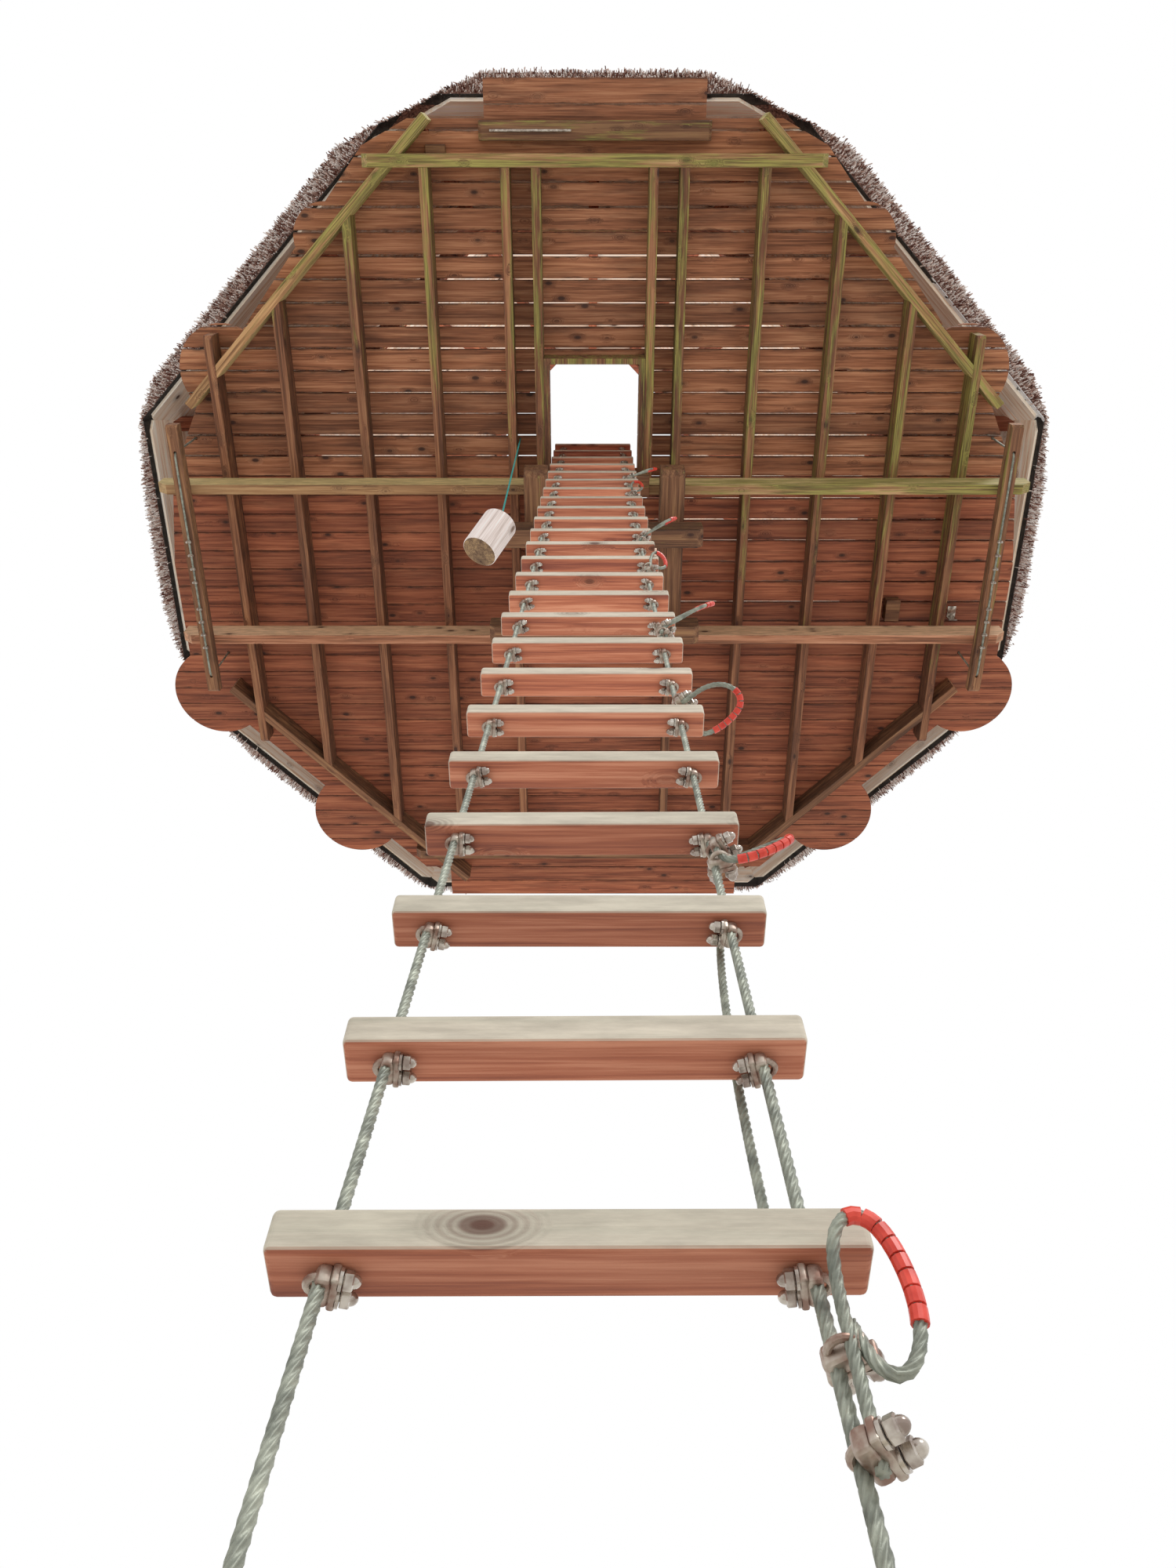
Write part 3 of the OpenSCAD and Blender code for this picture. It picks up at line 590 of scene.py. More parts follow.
def plank(store_to, start, axes, length, width, thick, arris=FINE_ARRIS):
    """Adds a plank with eased edges; start is the middle of its first end."""
    along, across, up = axes
    points, faces = store_to
    w = width / 2
    t = thick / 2
    section = [(-w + arris, -t), (w - arris, -t), (w, -t + arris), (w, t - arris),
               (w - arris, t), (-w + arris, t), (-w, t - arris), (-w, -t + arris)]
    base = len(points)
    sides = len(section)
    for step in (0, length):
        points.extend(start + along * step + across * s + up * u for s, u in section)
    faces.append([base + i for i in reversed(range(sides))])
    faces.append([base + sides + i for i in range(sides)])
    for i in range(sides):
        j = (i + 1) % sides
        faces.append([base + i, base + j, base + sides + j, base + sides + i])


def cut_to(name, boards, node):
    """Keeps what of the boards lies inside a CAD node."""
    rough = bpy.data.objects.new(name + "_rough", mesh_of(name, *boards))
    bm = whole_solid(node)
    bmesh.ops.triangulate(bm, faces=bm.faces)
    cutter = bpy.data.objects.new(name + "_cutter", settled(name + "_outline", bm))
    for thing in (rough, cutter):
        bpy.context.scene.collection.objects.link(thing)
    cut = rough.modifiers.new("cut", "BOOLEAN")
    cut.operation = "INTERSECT"
    cut.solver = "EXACT"
    cut.object = cutter
    shown = rough.evaluated_get(bpy.context.evaluated_depsgraph_get())
    mesh = bpy.data.meshes.new_from_object(shown)
    mesh.name = name
    for thing in (rough, cutter):
        bpy.data.objects.remove(thing)
    return mesh


# Deck boards, pitch and gap: the near ones and the right ones lie open, the others close
OPENED = (0.119, 0.009)
CLOSED = (0.1105, 0.0025)
DECK_REACH = 3.0
BUTT_JOINT = 0.002
BOARD_PLAY = 0.0004

# Each board lies a little off its place, and no two gaps are alike: both as shares of a gap
BOARD_SHIFT = 0.12
GAP_SPREAD = (0.55, 1.3)


def deck_boards(node, runs):
    """The boards of one zone; each run is (left end, right end, pitch, gap)."""
    low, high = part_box(node)
    draw = random.Random(node)
    boards = ([], [])
    thick = high.z - low.z - 2 * BOARD_PLAY
    middle = (low.z + high.z) / 2
    for x0, x1, pitch, gap in runs:
        count = round((high.y - low.y) / pitch)
        step = (high.y - low.y) / count
        for i in range(count):
            y = low.y + (i + 0.5) * step + draw.uniform(-BOARD_SHIFT, BOARD_SHIFT) * gap
            width = step - gap * draw.uniform(*GAP_SPREAD)
            plank(boards, Vector((x0, y, middle)), (RIGHT, AWAY, UP), x1 - x0, width, thick)
    return cut_to(node + "_boards", boards, node)


def make_deck():
    """Boards in three zones, each cut to the deck's wavy edge."""
    zones = (("deck_near", [(-DECK_REACH, DECK_REACH, *OPENED)], stained_boards),
             ("deck_middle", [(-DECK_REACH, MEET_X - BUTT_JOINT / 2, *CLOSED),
                              (MEET_X + BUTT_JOINT / 2, DECK_REACH, *OPENED)], shaded_boards),
             ("deck_far", [(-DECK_REACH, DECK_REACH, *CLOSED)], shaded_boards))
    for node, runs, material in zones:
        mesh = deck_boards(node, runs)
        give_grain(mesh, node, RIGHT)
        piece(mesh, material, [node])


def make_frame_timbers():
    """Everything that is squared timber, from the collar up to the crown."""
    for node in ("joists_left", "joists_right", "hatch_lining", "ladder_rest"):
        timber(node, joist_timber)
    for node in ("clamp_beam_near", "clamp_beam_far", "collar_beams", "side_beam_left",
                 "side_beam_right", "header_far", "nose_beam", "edge_beams_far"):
        timber(node, beam_timber)
    for node in ("girder_near", "header_near", "edge_beams_near"):
        timber(node, mossy_timber)
    timber("girder_far", girder_timber)
    timber("window_frames", pale_timber, FINE_ARRIS)
    for node in ("corner_posts", "ring_beam", "rafters", "rope_purlins", "crown_kerb"):
        timber(node, shaded_boards)


def flat_faces(node, facing, least):
    """The corners and normal of each face of a CAD node that passes a test.

    least is the smallest area that counts, in square metres.
    """
    bm = whole_solid(node)
    found = [([v.co.copy() for v in f.verts], f.normal.copy()) for f in bm.faces
             if f.calc_area() > least and facing(f.normal)]
    bm.free()
    return found


def underside(normal):
    """True where a face slopes and looks down."""
    return -0.9 < normal.z < -0.2


def face_axes(normal):
    """The level direction in a sloping face, and the one up the slope."""
    level = UP.cross(normal).normalized()
    upward = normal.cross(level)
    return level, upward if upward.z > 0 else -upward


def side_direction(k):
    """The outward direction of one of the eight sides, counted from the right one."""
    angle = math.radians(45 * k)
    return Vector((math.cos(angle), math.sin(angle), 0))


def clip(corners, direction, low, high):
    """The part of a convex outline between two distances along a direction."""
    for sign, limit in ((1, low), (-1, -high)):
        kept = []
        for i, p in enumerate(corners):
            q = corners[(i + 1) % len(corners)]
            a = sign * p.dot(direction) - limit
            b = sign * q.dot(direction) - limit
            if a >= 0:
                kept.append(p)
            if a * b < 0:
                kept.append(p.lerp(q, a / (a - b)))
        corners = kept
    return corners


def slab(store_to, corners, offset):
    """Adds a flat board of any convex outline; offset is its thickness with a direction."""
    points, faces = store_to
    base = len(points)
    count = len(corners)
    points.extend(corners)
    points.extend(p + offset for p in corners)
    faces.append([base + i for i in range(count)])
    faces.append([base + count + i for i in reversed(range(count))])
    for i in range(count):
        j = (i + 1) % count
        faces.append([base + j, base + i, base + count + i, base + count + j])


SOFFIT_PITCH = 0.125
SOFFIT_GAP = 0.003
SOFFIT_THICK = 0.027


def make_soffit():
    """Boards laid level round the roof, mitred at the hips."""
    boards = ([], [])
    for corners, normal in flat_faces("roof_boards", underside, least=0.3):
        upward = face_axes(normal)[1]
        reach = [c.dot(upward) for c in corners]
        count = math.ceil((max(reach) - min(reach)) / SOFFIT_PITCH)
        for i in range(count):
            s = min(reach) + i * SOFFIT_PITCH
            strip = clip(corners, upward, s, s + SOFFIT_PITCH - SOFFIT_GAP)
            if len(strip) > 2:
                slab(boards, strip, normal * -SOFFIT_THICK)
    mesh = mesh_of("roof_soffit_boards", *boards)
    tidy_normals(mesh)
    give_grain(mesh, "soffit")
    piece(mesh, sunlit_soffit_boards, ["roof_boards"])


def tidy_normals(mesh):
    """Turns every face of a closed mesh outward."""
    bm = bmesh.new()
    bm.from_mesh(mesh)
    bmesh.ops.recalc_face_normals(bm, faces=bm.faces)
    bm.to_mesh(mesh)
    bm.free()


# The sides of the roof, counted round from the right one
THATCH = ("thatch_right", "thatch_far_right", "thatch_far", "thatch_far_left",
          "thatch_left", "thatch_near_left", "thatch_near", "thatch_near_right")
FELT_WIDTH = 0.085
FELT_THICK = 0.004


def make_felt():
    """The felt shows as a dark strip between the soffit and the thatch."""
    strips = ([], [])
    for node in THATCH:
        for corners, normal in flat_faces(node, underside, least=0.6):
            upward = face_axes(normal)[1]
            lowest = min(c.dot(upward) for c in corners)
            strip = clip(corners, upward, lowest, lowest + FELT_WIDTH)
            slab(strips, strip, normal * FELT_THICK)
    mesh = mesh_of("roof_felt", *strips)
    tidy_normals(mesh)
    piece(mesh, felt)


STRAW_SIDES = 3
STRAW_TIP = 0.7


def straws(name, roots, directions, lengths, widths, pale, seed):
    """Many straws as one mesh: three-sided, a little thinner at the tip.

    pale is what each straw's tone has on top of its own chance.
    """
    rng = np.random.default_rng(seed)
    count = len(roots)
    directions = directions / np.linalg.norm(directions, axis=1)[:, None]
    helper = np.where(np.abs(directions[:, 2:3]) < NEARLY_UPRIGHT, [[0, 0, 1]], [[1, 0, 0]])
    first = np.cross(directions, helper)
    first /= np.linalg.norm(first, axis=1)[:, None]
    second = np.cross(directions, first)
    phase = rng.uniform(0, 2 * math.pi, count)
    rings = []
    for end, share in ((0, 1.0), (1, STRAW_TIP)):
        for side in range(STRAW_SIDES):
            angle = phase + side * 2 * math.pi / STRAW_SIDES
            around = np.cos(angle)[:, None] * first + np.sin(angle)[:, None] * second
            rings.append(roots + end * lengths[:, None] * directions
                         + share * widths[:, None] / 2 * around)
    points = np.stack(rings, 1).reshape(-1, 3)
    base = np.arange(count)[:, None] * 2 * STRAW_SIDES
    walls = [[0, 1, 4, 3], [1, 2, 5, 4], [2, 0, 3, 5]]
    caps = [[2, 1, 0], [3, 4, 5]]
    faces = []
    for corners in walls + caps:
        faces.extend((base + np.array(corners)).tolist())
    mesh = mesh_of(name, points, faces)
    tone = np.repeat(rng.uniform(-1, 1, count) + pale, 2 * STRAW_SIDES)
    store(mesh, "tone", "FLOAT", tone)
    return mesh


# Courses of reed: how far up the slope the first one is and each next one follows, the
# lengths of its straws, and their thickness with the spread of it
FIRST_COURSE = 0.05
COURSE_STEP = 0.1
REED_LENGTH = (0.17, 0.28)
STRAW_D = 0.008
LONG_SPREAD = (0.7, 1.2)

# How closely the straws stand on the slopes and the cut corners, and how far they pass the
# eave and the hips
SLOPE_SPACING = 0.0135
CORNER_SPACING = 0.007
PAST_EAVE = (0.004, 0.018)
PAST_HIP = 0.035

# How far their roots are out of line and out of the slope, and how much their tips lean
# sideways and out of the slope, as shares of their length
OUT_OF_LINE = 0.06
ROOT_LIFT = (-0.006, 0.005)
SIDEWAYS = 0.06
OUTWARD_LEAN = (0.015, 0.08)
COURSE_TONE = -0.15

# Cut ends at the eave: how far apart they stand, the spread of their thickness, how deep they
# are set, how far they stand out, and the share of them that is dark
EAVE_SPACING = 0.0115
SHORT_SPREAD = (0.8, 1.4)
CUT_INSET = 0.03
CUT_LEAST = 0.004
CUT_REACH = 0.04
CUT_SPLAY = (0.15, 0.14)
DARK_SHARE = 0.38
DARK_TONE = -1.1
PALE_TONE = 1.2


# A strip so thin that it stands for a line, and the least fall that reaches an edge
THIN = 0.001
LEAST_FALL = 0.05


def inward_edges(corners, normal):
    """A point of each edge of a convex face and the direction inward from it."""
    middle = sum(corners, Vector()) / len(corners)
    for i, p in enumerate(corners):
        inward = normal.cross(corners[(i + 1) % len(corners)] - p).normalized()
        yield np.array(p), np.array(inward if inward.dot(middle - p) > 0 else -inward)


def room_below(spots, downward, corners, normal):
    """How far each spot is from the edge of the face, down the slope."""
    room = np.full(len(spots), np.inf)
    for p, inward in inward_edges(corners, normal):
        fall = np.array(downward) @ inward
        if fall < -LEAST_FALL:
            room = np.minimum(room, (spots - p) @ inward / -fall)
    return np.maximum(room, 0.0)


def courses_on(corners, normal, rng, spacing):
    """Courses of reed up a face; each covers the roots of the one below."""
    level, upward = face_axes(normal)
    reach = [c.dot(upward) for c in corners]
    roots = []
    for s in np.arange(min(reach) + FIRST_COURSE, max(reach), COURSE_STEP):
        line = clip(corners, upward, s, s + THIN)
        if len(line) < 3:
            continue
        along = [p.dot(level) for p in line]
        span = max(along) - min(along)
        count = int(span / spacing)
        if count < 3:
            continue
        start = np.array(min(line, key=lambda p: p.dot(level)))
        places = rng.uniform(-PAST_HIP, span + PAST_HIP, count)
        slide = rng.uniform(-OUT_OF_LINE, OUT_OF_LINE, count)
        lift = rng.uniform(*ROOT_LIFT, count)
        roots.append(start + np.outer(places, level) + np.outer(slide, upward)
                     + np.outer(lift, normal))
    roots = np.concatenate(roots)
    count = len(roots)
    directions = (-np.array(upward) + np.outer(rng.normal(0, SIDEWAYS, count), level)
                  + np.outer(rng.uniform(*OUTWARD_LEAN, count), normal))
    room = room_below(roots, -upward, corners, normal)
    lengths = np.minimum(rng.uniform(*REED_LENGTH, count),
                         room + rng.uniform(*PAST_EAVE, count))
    widths = rng.uniform(*LONG_SPREAD, count) * STRAW_D
    return roots, directions, lengths, widths, np.full(count, COURSE_TONE)


def cut_ends_on(corners, facing, downward, rng):
    """Short cut ends of reed that stand out of the eave's steep face."""
    level = UP.cross(facing).normalized()
    drop = level.cross(facing).normalized()
    a = [c.dot(level) for c in corners]
    b = [c.dot(drop) for c in corners]
    origin = corners[0] - level * a[0] - drop * b[0]
    grid = np.array([(u, v) for u in np.arange(min(a), max(a), EAVE_SPACING)
                     for v in np.arange(min(b), max(b), EAVE_SPACING)])
    grid = grid + rng.uniform(-0.5, 0.5, grid.shape) * EAVE_SPACING
    spots = np.array(origin) + np.outer(grid[:, 0], level) + np.outer(grid[:, 1], drop)
    inside = np.ones(len(spots), bool)
    for p, inward in inward_edges(corners, facing):
        inside &= (spots - p) @ inward > 0
    spots = spots[inside]
    count = len(spots)
    outward = (np.array(downward) + np.outer(rng.normal(0, CUT_SPLAY[0], count), level)
               + np.outer(rng.normal(0, CUT_SPLAY[1], count), drop))
    return (spots - CUT_INSET * np.array(downward), outward,
            CUT_INSET + CUT_LEAST + rng.uniform(0, 1, count) ** 2 * CUT_REACH,
            rng.uniform(*SHORT_SPREAD, count) * STRAW_D,
            np.where(rng.random(count) < DARK_SHARE, DARK_TONE, PALE_TONE))


LAY_SEED = 40
STRAW_SEED = 60


def thatch_side(node, k):
    """Reed on one side of the roof: courses up the slope and round the cut corners."""
    rng = np.random.default_rng(LAY_SEED + k)
    outward = side_direction(k)
    slope, normal = max(flat_faces(node, lambda n: n.z > 0.3, least=0.5),
                        key=lambda f: (f[1].z, len(f[0])))
    reeds = [courses_on(slope, normal, rng, SLOPE_SPACING)]
    downward = -face_axes(normal)[1]
    for corners, facing in flat_faces(node, lambda n: -0.9 < n.z < 0.2, least=0.01):
        # Faces that meet the next side are left bare
        if facing.dot(outward) < 0.45:
            continue
        if abs(facing.z) < 0.1:
            reeds.append(courses_on(corners, facing, rng, CORNER_SPACING))
        else:
            reeds.append(cut_ends_on(corners, facing, downward, rng))
    joined = [np.concatenate(parts) for parts in zip(*reeds)]
    name = node.replace("thatch", "reed")
    piece(straws(name, *joined, STRAW_SEED + k), reed)
    refinish(node, shaded_reed_bed)


def make_thatch():
    """All eight sides."""
    for k, node in enumerate(THATCH):
        thatch_side(node, k)


WALLS = ("wall_right", "wall_far_right", "wall_far", "wall_far_left", "wall_left",
         "wall_near_left", "wall_near", "wall_near_right")
WALL_PITCH = 0.112
WALL_GAP = 0.003
WALL_ARRIS = 0.004


def make_walls():
    """Upright boards, a little apart, cut round each window."""
    for k, node in enumerate(WALLS):
        outward = side_direction(k)
        level = UP.cross(outward)
        points = coordinates(nodes[node].data)
        along = points @ np.array(level)
        through = points @ np.array(outward)
        low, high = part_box(node)
        count = round((along.max() - along.min()) / WALL_PITCH)
        step = (along.max() - along.min()) / count
        middle = (through.max() + through.min()) / 2
        thick = through.max() - through.min() - 2 * BOARD_PLAY
        boards = ([], [])
        for i in range(count):
            foot = level * (along.min() + (i + 0.5) * step) + outward * middle
            foot.z = low.z + BOARD_PLAY
            tall = high.z - low.z - 2 * BOARD_PLAY
            plank(boards, foot, (UP, outward, level), tall, thick, step - WALL_GAP, WALL_ARRIS)
        mesh = cut_to(node + "_boards", boards, node)
        tidy_normals(mesh)
        give_grain(mesh, node, UP)
        piece(mesh, shaded_boards, [node])


def smooth_path(points, step):
    """Points at even steps along a broken line."""
    points = np.array([tuple(p) for p in points], float)
    gaps = np.linalg.norm(np.diff(points, axis=0), axis=1)
    along = np.concatenate([[0], np.cumsum(gaps)])
    count = max(2, int(round(along[-1] / step)) + 1)
    where = np.linspace(0, along[-1], count)
    return np.stack([np.interp(where, along, points[:, i]) for i in range(3)], 1)


def rounded(points, times=2):
    """The same line with its corners cut off, a little rounder each time."""
    points = [Vector(p) for p in points]
    for _ in range(times):
        cut = [points[0]]
        for a, b in zip(points, points[1:]):
            cut.extend((a.lerp(b, 0.25), a.lerp(b, 0.75)))
        points = cut + [points[-1]]
    return points


def rings_along(path, hint, angles, reach, turn=0.0):
    """Rings of points about a path, each turned a little further than the one before."""
    tangents = np.gradient(path, axis=0)
    tangents /= np.linalg.norm(tangents, axis=1)[:, None]
    side = np.cross(tangents[0], hint)
    rings = []
    for i, (middle, tangent) in enumerate(zip(path, tangents)):
        side = side - tangent * side.dot(tangent)
        side /= np.linalg.norm(side)
        other = np.cross(tangent, side)
        at = (angles + i * turn)[:, None]
        rings.append(middle + reach * (np.cos(at) * side + np.sin(at) * other))
    return rings


def even_angles(count):
    """Angles in even steps round a full turn."""
    return np.arange(count) * 2 * math.pi / count


# A rope's strands, the points round each, and how deep the valleys between them are, as a
# share of the rope's radius
STRANDS = 6
PER_STRAND = 4
VALLEY = 0.3


def laid_rope(store_to, points, diameter, lay, steps_a_turn=12, strands=STRANDS,
              valley=VALLEY):
    """Adds a rope of twisted strands along a line of points."""
    path = smooth_path(points, lay / steps_a_turn)
    angles = even_angles(strands * PER_STRAND)
    crest = np.abs(np.cos(strands / 2 * angles))
    reach = diameter / 2 * (1 - valley + valley * crest)
    add_rings(store_to, rings_along(path, [0.3, 1, 0.2], angles, reach[:, None],
                                    2 * math.pi / steps_a_turn))


def add_rings(store_to, rings):
    """Joins rings of points into one closed tube."""
    points, faces = store_to
    base = len(points)
    ring = len(rings[0])
    for row in rings:
        points.extend(tuple(p) for p in row)
    faces.append([base + i for i in reversed(range(ring))])
    last = base + (len(rings) - 1) * ring
    faces.append([last + i for i in range(ring)])
    for row in range(len(rings) - 1):
        a = base + row * ring
        for i in range(ring):
            j = (i + 1) % ring
            faces.append([a + i, a + j, a + ring + j, a + ring + i])


def turned(store_to, profile, place, sides=16):
    """Adds a turned part: profile is (distance along X, radius), place a matrix."""
    add_rings(store_to, [[place @ Vector((x, radius * math.cos(a), radius * math.sin(a)))
                          for a in even_angles(sides)] for x, radius in profile])


def bar(store_to, points, diameter, place, sides=10):
    """Adds a round bar along a line of points, moved by a matrix."""
    path = smooth_path([place @ Vector(p) for p in points], diameter / 2)
    add_rings(store_to, rings_along(path, [0.3, 0.2, 1], even_angles(sides), diameter / 2))


def soft_block(store_to, low, high, radius, place, segments=3):
    """Adds a block with round edges, moved by a matrix."""
    bm = bmesh.new()
    bmesh.ops.create_cube(bm, size=1)
    low = Vector(low)
    high = Vector(high)
    for v in bm.verts:
        share = v.co + Vector((0.5, 0.5, 0.5))
        v.co = Vector(low[i] + (high[i] - low[i]) * share[i] for i in range(3))
    bmesh.ops.bevel(bm, geom=bm.edges[:], offset=radius, segments=segments, profile=0.5,
                    affect="EDGES", clamp_overlap=True)
    points, faces = store_to
    base = len(points)
    bm.verts.index_update()
    points.extend(tuple(place @ v.co) for v in bm.verts)
    faces.extend([base + v.index for v in f.verts] for f in bm.faces)
    bm.free()


# A wire rope clip: opposite corners of its cast saddle and of the bridge on it, the bow
# round the rope, and the washers and domed nuts on the bow's legs
SADDLE = ((-0.006, -0.0155, -0.0095), (0.0075, 0.0155, 0.0095))
SADDLE_ROUND = 0.005
BRIDGE = ((0.006, -0.0175, -0.0085), (0.0125, 0.0175, 0.0085))
BRIDGE_ROUND = 0.0022
BOW_R = 0.0098
BOW_D = 0.0068
BOW_BACK = 0.002
LEG_END = 0.02
NUT_AT = 0.0155
NUT_R = 0.0078
NUT_HEIGHT = 0.0078
NUT = ((0, 0.005), (0, NUT_R - 0.0006), (0.0008, NUT_R), (NUT_HEIGHT - 0.001, NUT_R),
       (NUT_HEIGHT, NUT_R - 0.0012), (NUT_HEIGHT, 0.004))
WASHER_AT = NUT_AT - 0.003
WASHER = ((-0.0006, 0.005), (-0.0004, 0.0088), (0.0022, 0.0088), (0.0026, 0.005))
DOME_R = 0.0056
DOME_HEIGHT = 0.0066
DOME_SUNK = 0.0006
CREASE = math.radians(28)


def rope_clip(bodies, nuts, place):
    """Adds a wire rope clip: rope along Z, the two nuts towards +X."""
    soft_block(bodies, *SADDLE, SADDLE_ROUND, place)
    soft_block(bodies, *BRIDGE, BRIDGE_ROUND, place)
    arc = [(BOW_R * -math.cos(a) - BOW_BACK, BOW_R * math.sin(a), 0)
           for a in np.linspace(-math.pi / 2, math.pi / 2, 13)]
    bow = [(LEG_END, -BOW_R, 0)] + arc + [(LEG_END, BOW_R, 0)]
    bar(bodies, bow, BOW_D, place)
    dome = [(NUT_HEIGHT - DOME_SUNK + DOME_HEIGHT * math.sin(a), DOME_R * math.cos(a))
            for a in np.linspace(0, 1.5, 6)]
    for y in (-BOW_R, BOW_R):
        turned(nuts, WASHER, place @ Matrix.Translation((WASHER_AT, y, 0)), 20)
        at = place @ Matrix.Translation((NUT_AT, y, 0))
        turned(nuts, NUT, at, 6)
        turned(nuts, dome, at, 14)


def clip_pieces(name, bodies, nuts, replaced=()):
    """Puts clips in the scene: cast bodies, and their nuts of a brighter metal."""
    for kind, parts, metal in (("bodies", bodies, clip_steel), ("nuts", nuts, nut_steel)):
        mesh = mesh_of(name + "_" + kind, *parts)
        tidy_normals(mesh)
        piece(mesh, metal, replaced, True, CREASE)
        replaced = ()


def rung_middles():
    """The middle of each rung, from the lowest up."""
    mesh = settled("rung_count", whole_solid("rungs"))
    points = coordinates(mesh)
    labels = solid_labels(mesh)
    places = [points[labels == n] for n in range(labels.max() + 1)]
    middles = [Vector((p.min(0) + p.max(0)) / 2) for p in places]
    bpy.data.meshes.remove(mesh)
    return sorted(middles, key=lambda p: p.z)


# Rungs: their sizes, and how far out of level they lie, in degrees
RUNG_L = 0.463
RUNG_W = 0.055
RUNG_H = 0.042
RUNG_ROUND = 0.006
RUNG_TILT = 0.5
RUNG_NOD = 2
ROPE_X = RUNG_L / 2 - ROPE_FROM_END
RUNGS = rung_middles()

# Upward from the eighth rung they are painted paler, up to the thirteenth: painted light on the
# higher rungs
RUNG_PAINTED_LIGHT = ((RUNGS[7].z, RUNGS[12].z), (0.0, 2.2))


def make_rungs():
    """Thirty planed rungs with rounded arrises, none quite level."""
    draw = random.Random("rungs")
    bars = ([], [])
    half = Vector((RUNG_L / 2, RUNG_W / 2, RUNG_H / 2))
    for middle in RUNGS:
        tilt = math.radians(draw.uniform(-RUNG_TILT, RUNG_TILT))
        nod = math.radians(draw.uniform(-RUNG_NOD, RUNG_NOD))
        place = (Matrix.Translation(middle) @ Matrix.Rotation(tilt, 4, "Y")
                 @ Matrix.Rotation(nod, 4, "X"))
        soft_block(bars, -half, half, RUNG_ROUND, place, 4)
    mesh = mesh_of("ladder_rungs", *bars)
    give_grain(mesh, "rungs", RIGHT, RUNG_PAINTED_LIGHT)
    piece(mesh, rung_timber, ["rungs"])


def rope_beside(side):
    """Points of the ladder's rope at each rung on one side."""
    return [m + Vector((side * ROPE_X, 0, 0)) for m in RUNGS]


def lean_near(z):
    """The ladder's direction at a height, as a turn that sets Z along it."""
    i = min(range(len(RUNGS) - 1), key=lambda n: abs(RUNGS[n].z - z))
    run = (RUNGS[i + 1] - RUNGS[i]).normalized()
    return UP.rotation_difference(run).to_matrix().to_4x4()


def make_ladder_ropes():
    """One rope: up the left side, round in a sling above the hatch and down the right side."""
    left = rope_beside(-1)
    right = rope_beside(1)
    sling = [Vector((MEET_X + SLING_R * math.cos(a), SLING_Y + SLING_R * math.sin(a), SLING_Z))
             for a in np.radians(np.arange(200, -21, -10))]
    foot = Vector((0, 0, -TAIL))
    rope = ([], [])
    line = [left[0] + foot] + left + sling + right[::-1] + [right[0] + foot]
    laid_rope(rope, line, ROPE_D, ROPE_LAY)
    piece(mesh_of("ladder_wire_rope", *rope), wire, ["ladder_rope"], True)


CLIP_PLAY = 16


def make_clips():
    """A clip under each end of each rung, nuts inboard, turned by up to 16 degrees."""
    draw = random.Random("clips")
    bodies = ([], [])
    nuts = ([], [])
    for side in (-1, 1):
        for middle in RUNGS:
            at = middle + Vector((side * ROPE_X, 0, -RUNG_H / 2 - SADDLE[1][2]))
            turn = Matrix.Rotation(math.pi if side > 0 else 0, 4, "Z")
            swing = math.radians(draw.uniform(-CLIP_PLAY, CLIP_PLAY))
            play = Matrix.Rotation(swing, 4, "Z")
            rope_clip(bodies, nuts, Matrix.Translation(at) @ play @ turn)
    clip_pieces("rung_clip", bodies, nuts, ["rung_clips"])


# Four ways a hand loop is bent: places of its rope, where its clips sit and where the tape
# starts, in metres from the rope's place at the rung and along the loop
UPRIGHT = {"rope": ((0.010, -0.010, -0.205), (0.010, -0.014, -0.13), (0.006, -0.031, -0.06),
                    (0.009, -0.046, -0.032), (0.022, -0.051, -0.017), (0.041, -0.049, -0.022),
                    (0.053, -0.043, -0.05), (0.058, -0.036, -0.09), (0.053, -0.03, -0.124),
                    (0.038, -0.026, -0.147), (0.024, -0.022, -0.138),
                    (0.017, -0.018, -0.113), (0.013, -0.016, -0.09)),
           "clips": ((-0.108, 1.0), (-0.19, -0.6)), "tape": 0.195}
LYING = {"rope": ((0.002, -0.013, -0.035), (0.004, -0.015, -0.095), (0.018, -0.022, -0.128),
                  (0.058, -0.034, -0.122), (0.098, -0.044, -0.09), (0.106, -0.04, -0.064),
                  (0.088, -0.028, -0.06), (0.045, -0.016, -0.084), (0.018, -0.01, -0.098),
                  (0.012, -0.006, -0.06)),
         "clips": ((-0.062, -0.6), (-0.1, 1.2)), "tape": 0.1}
OUTWARD = {"rope": ((0.008, -0.012, 0.13), (0.006, -0.013, 0.09), (0.012, -0.02, 0.066),
                    (0.05, -0.05, 0.07), (0.088, -0.058, 0.07), (0.118, -0.045, 0.06),
                    (0.125, -0.022, 0.05), (0.113, 0.0, 0.045), (0.085, 0.025, 0.04),
                    (0.052, 0.04, 0.034), (0.02, 0.034, 0.04), (0.004, 0.014, 0.07),
                    (0.002, 0.012, 0.12)),
           "clips": ((0.085, -0.6), (0.115, 1.0)), "tape": 0.175}
SLANTED = {"rope": ((0.013, -0.004, -0.16), (0.013, -0.005, -0.11), (0.016, -0.012, -0.075),
                    (0.04, -0.021, -0.043), (0.075, -0.029, -0.007), (0.115, -0.041, 0.022),
                    (0.14, -0.051, 0.016), (0.145, -0.058, -0.014), (0.12, -0.062, -0.052),
                    (0.08, -0.05, -0.081), (0.045, -0.033, -0.101), (0.012, -0.021, -0.118),
                    (0.0, -0.0135, -0.16)),
           "clips": ((-0.115, -0.6), (-0.145, 1.0)), "tape": 0.21}

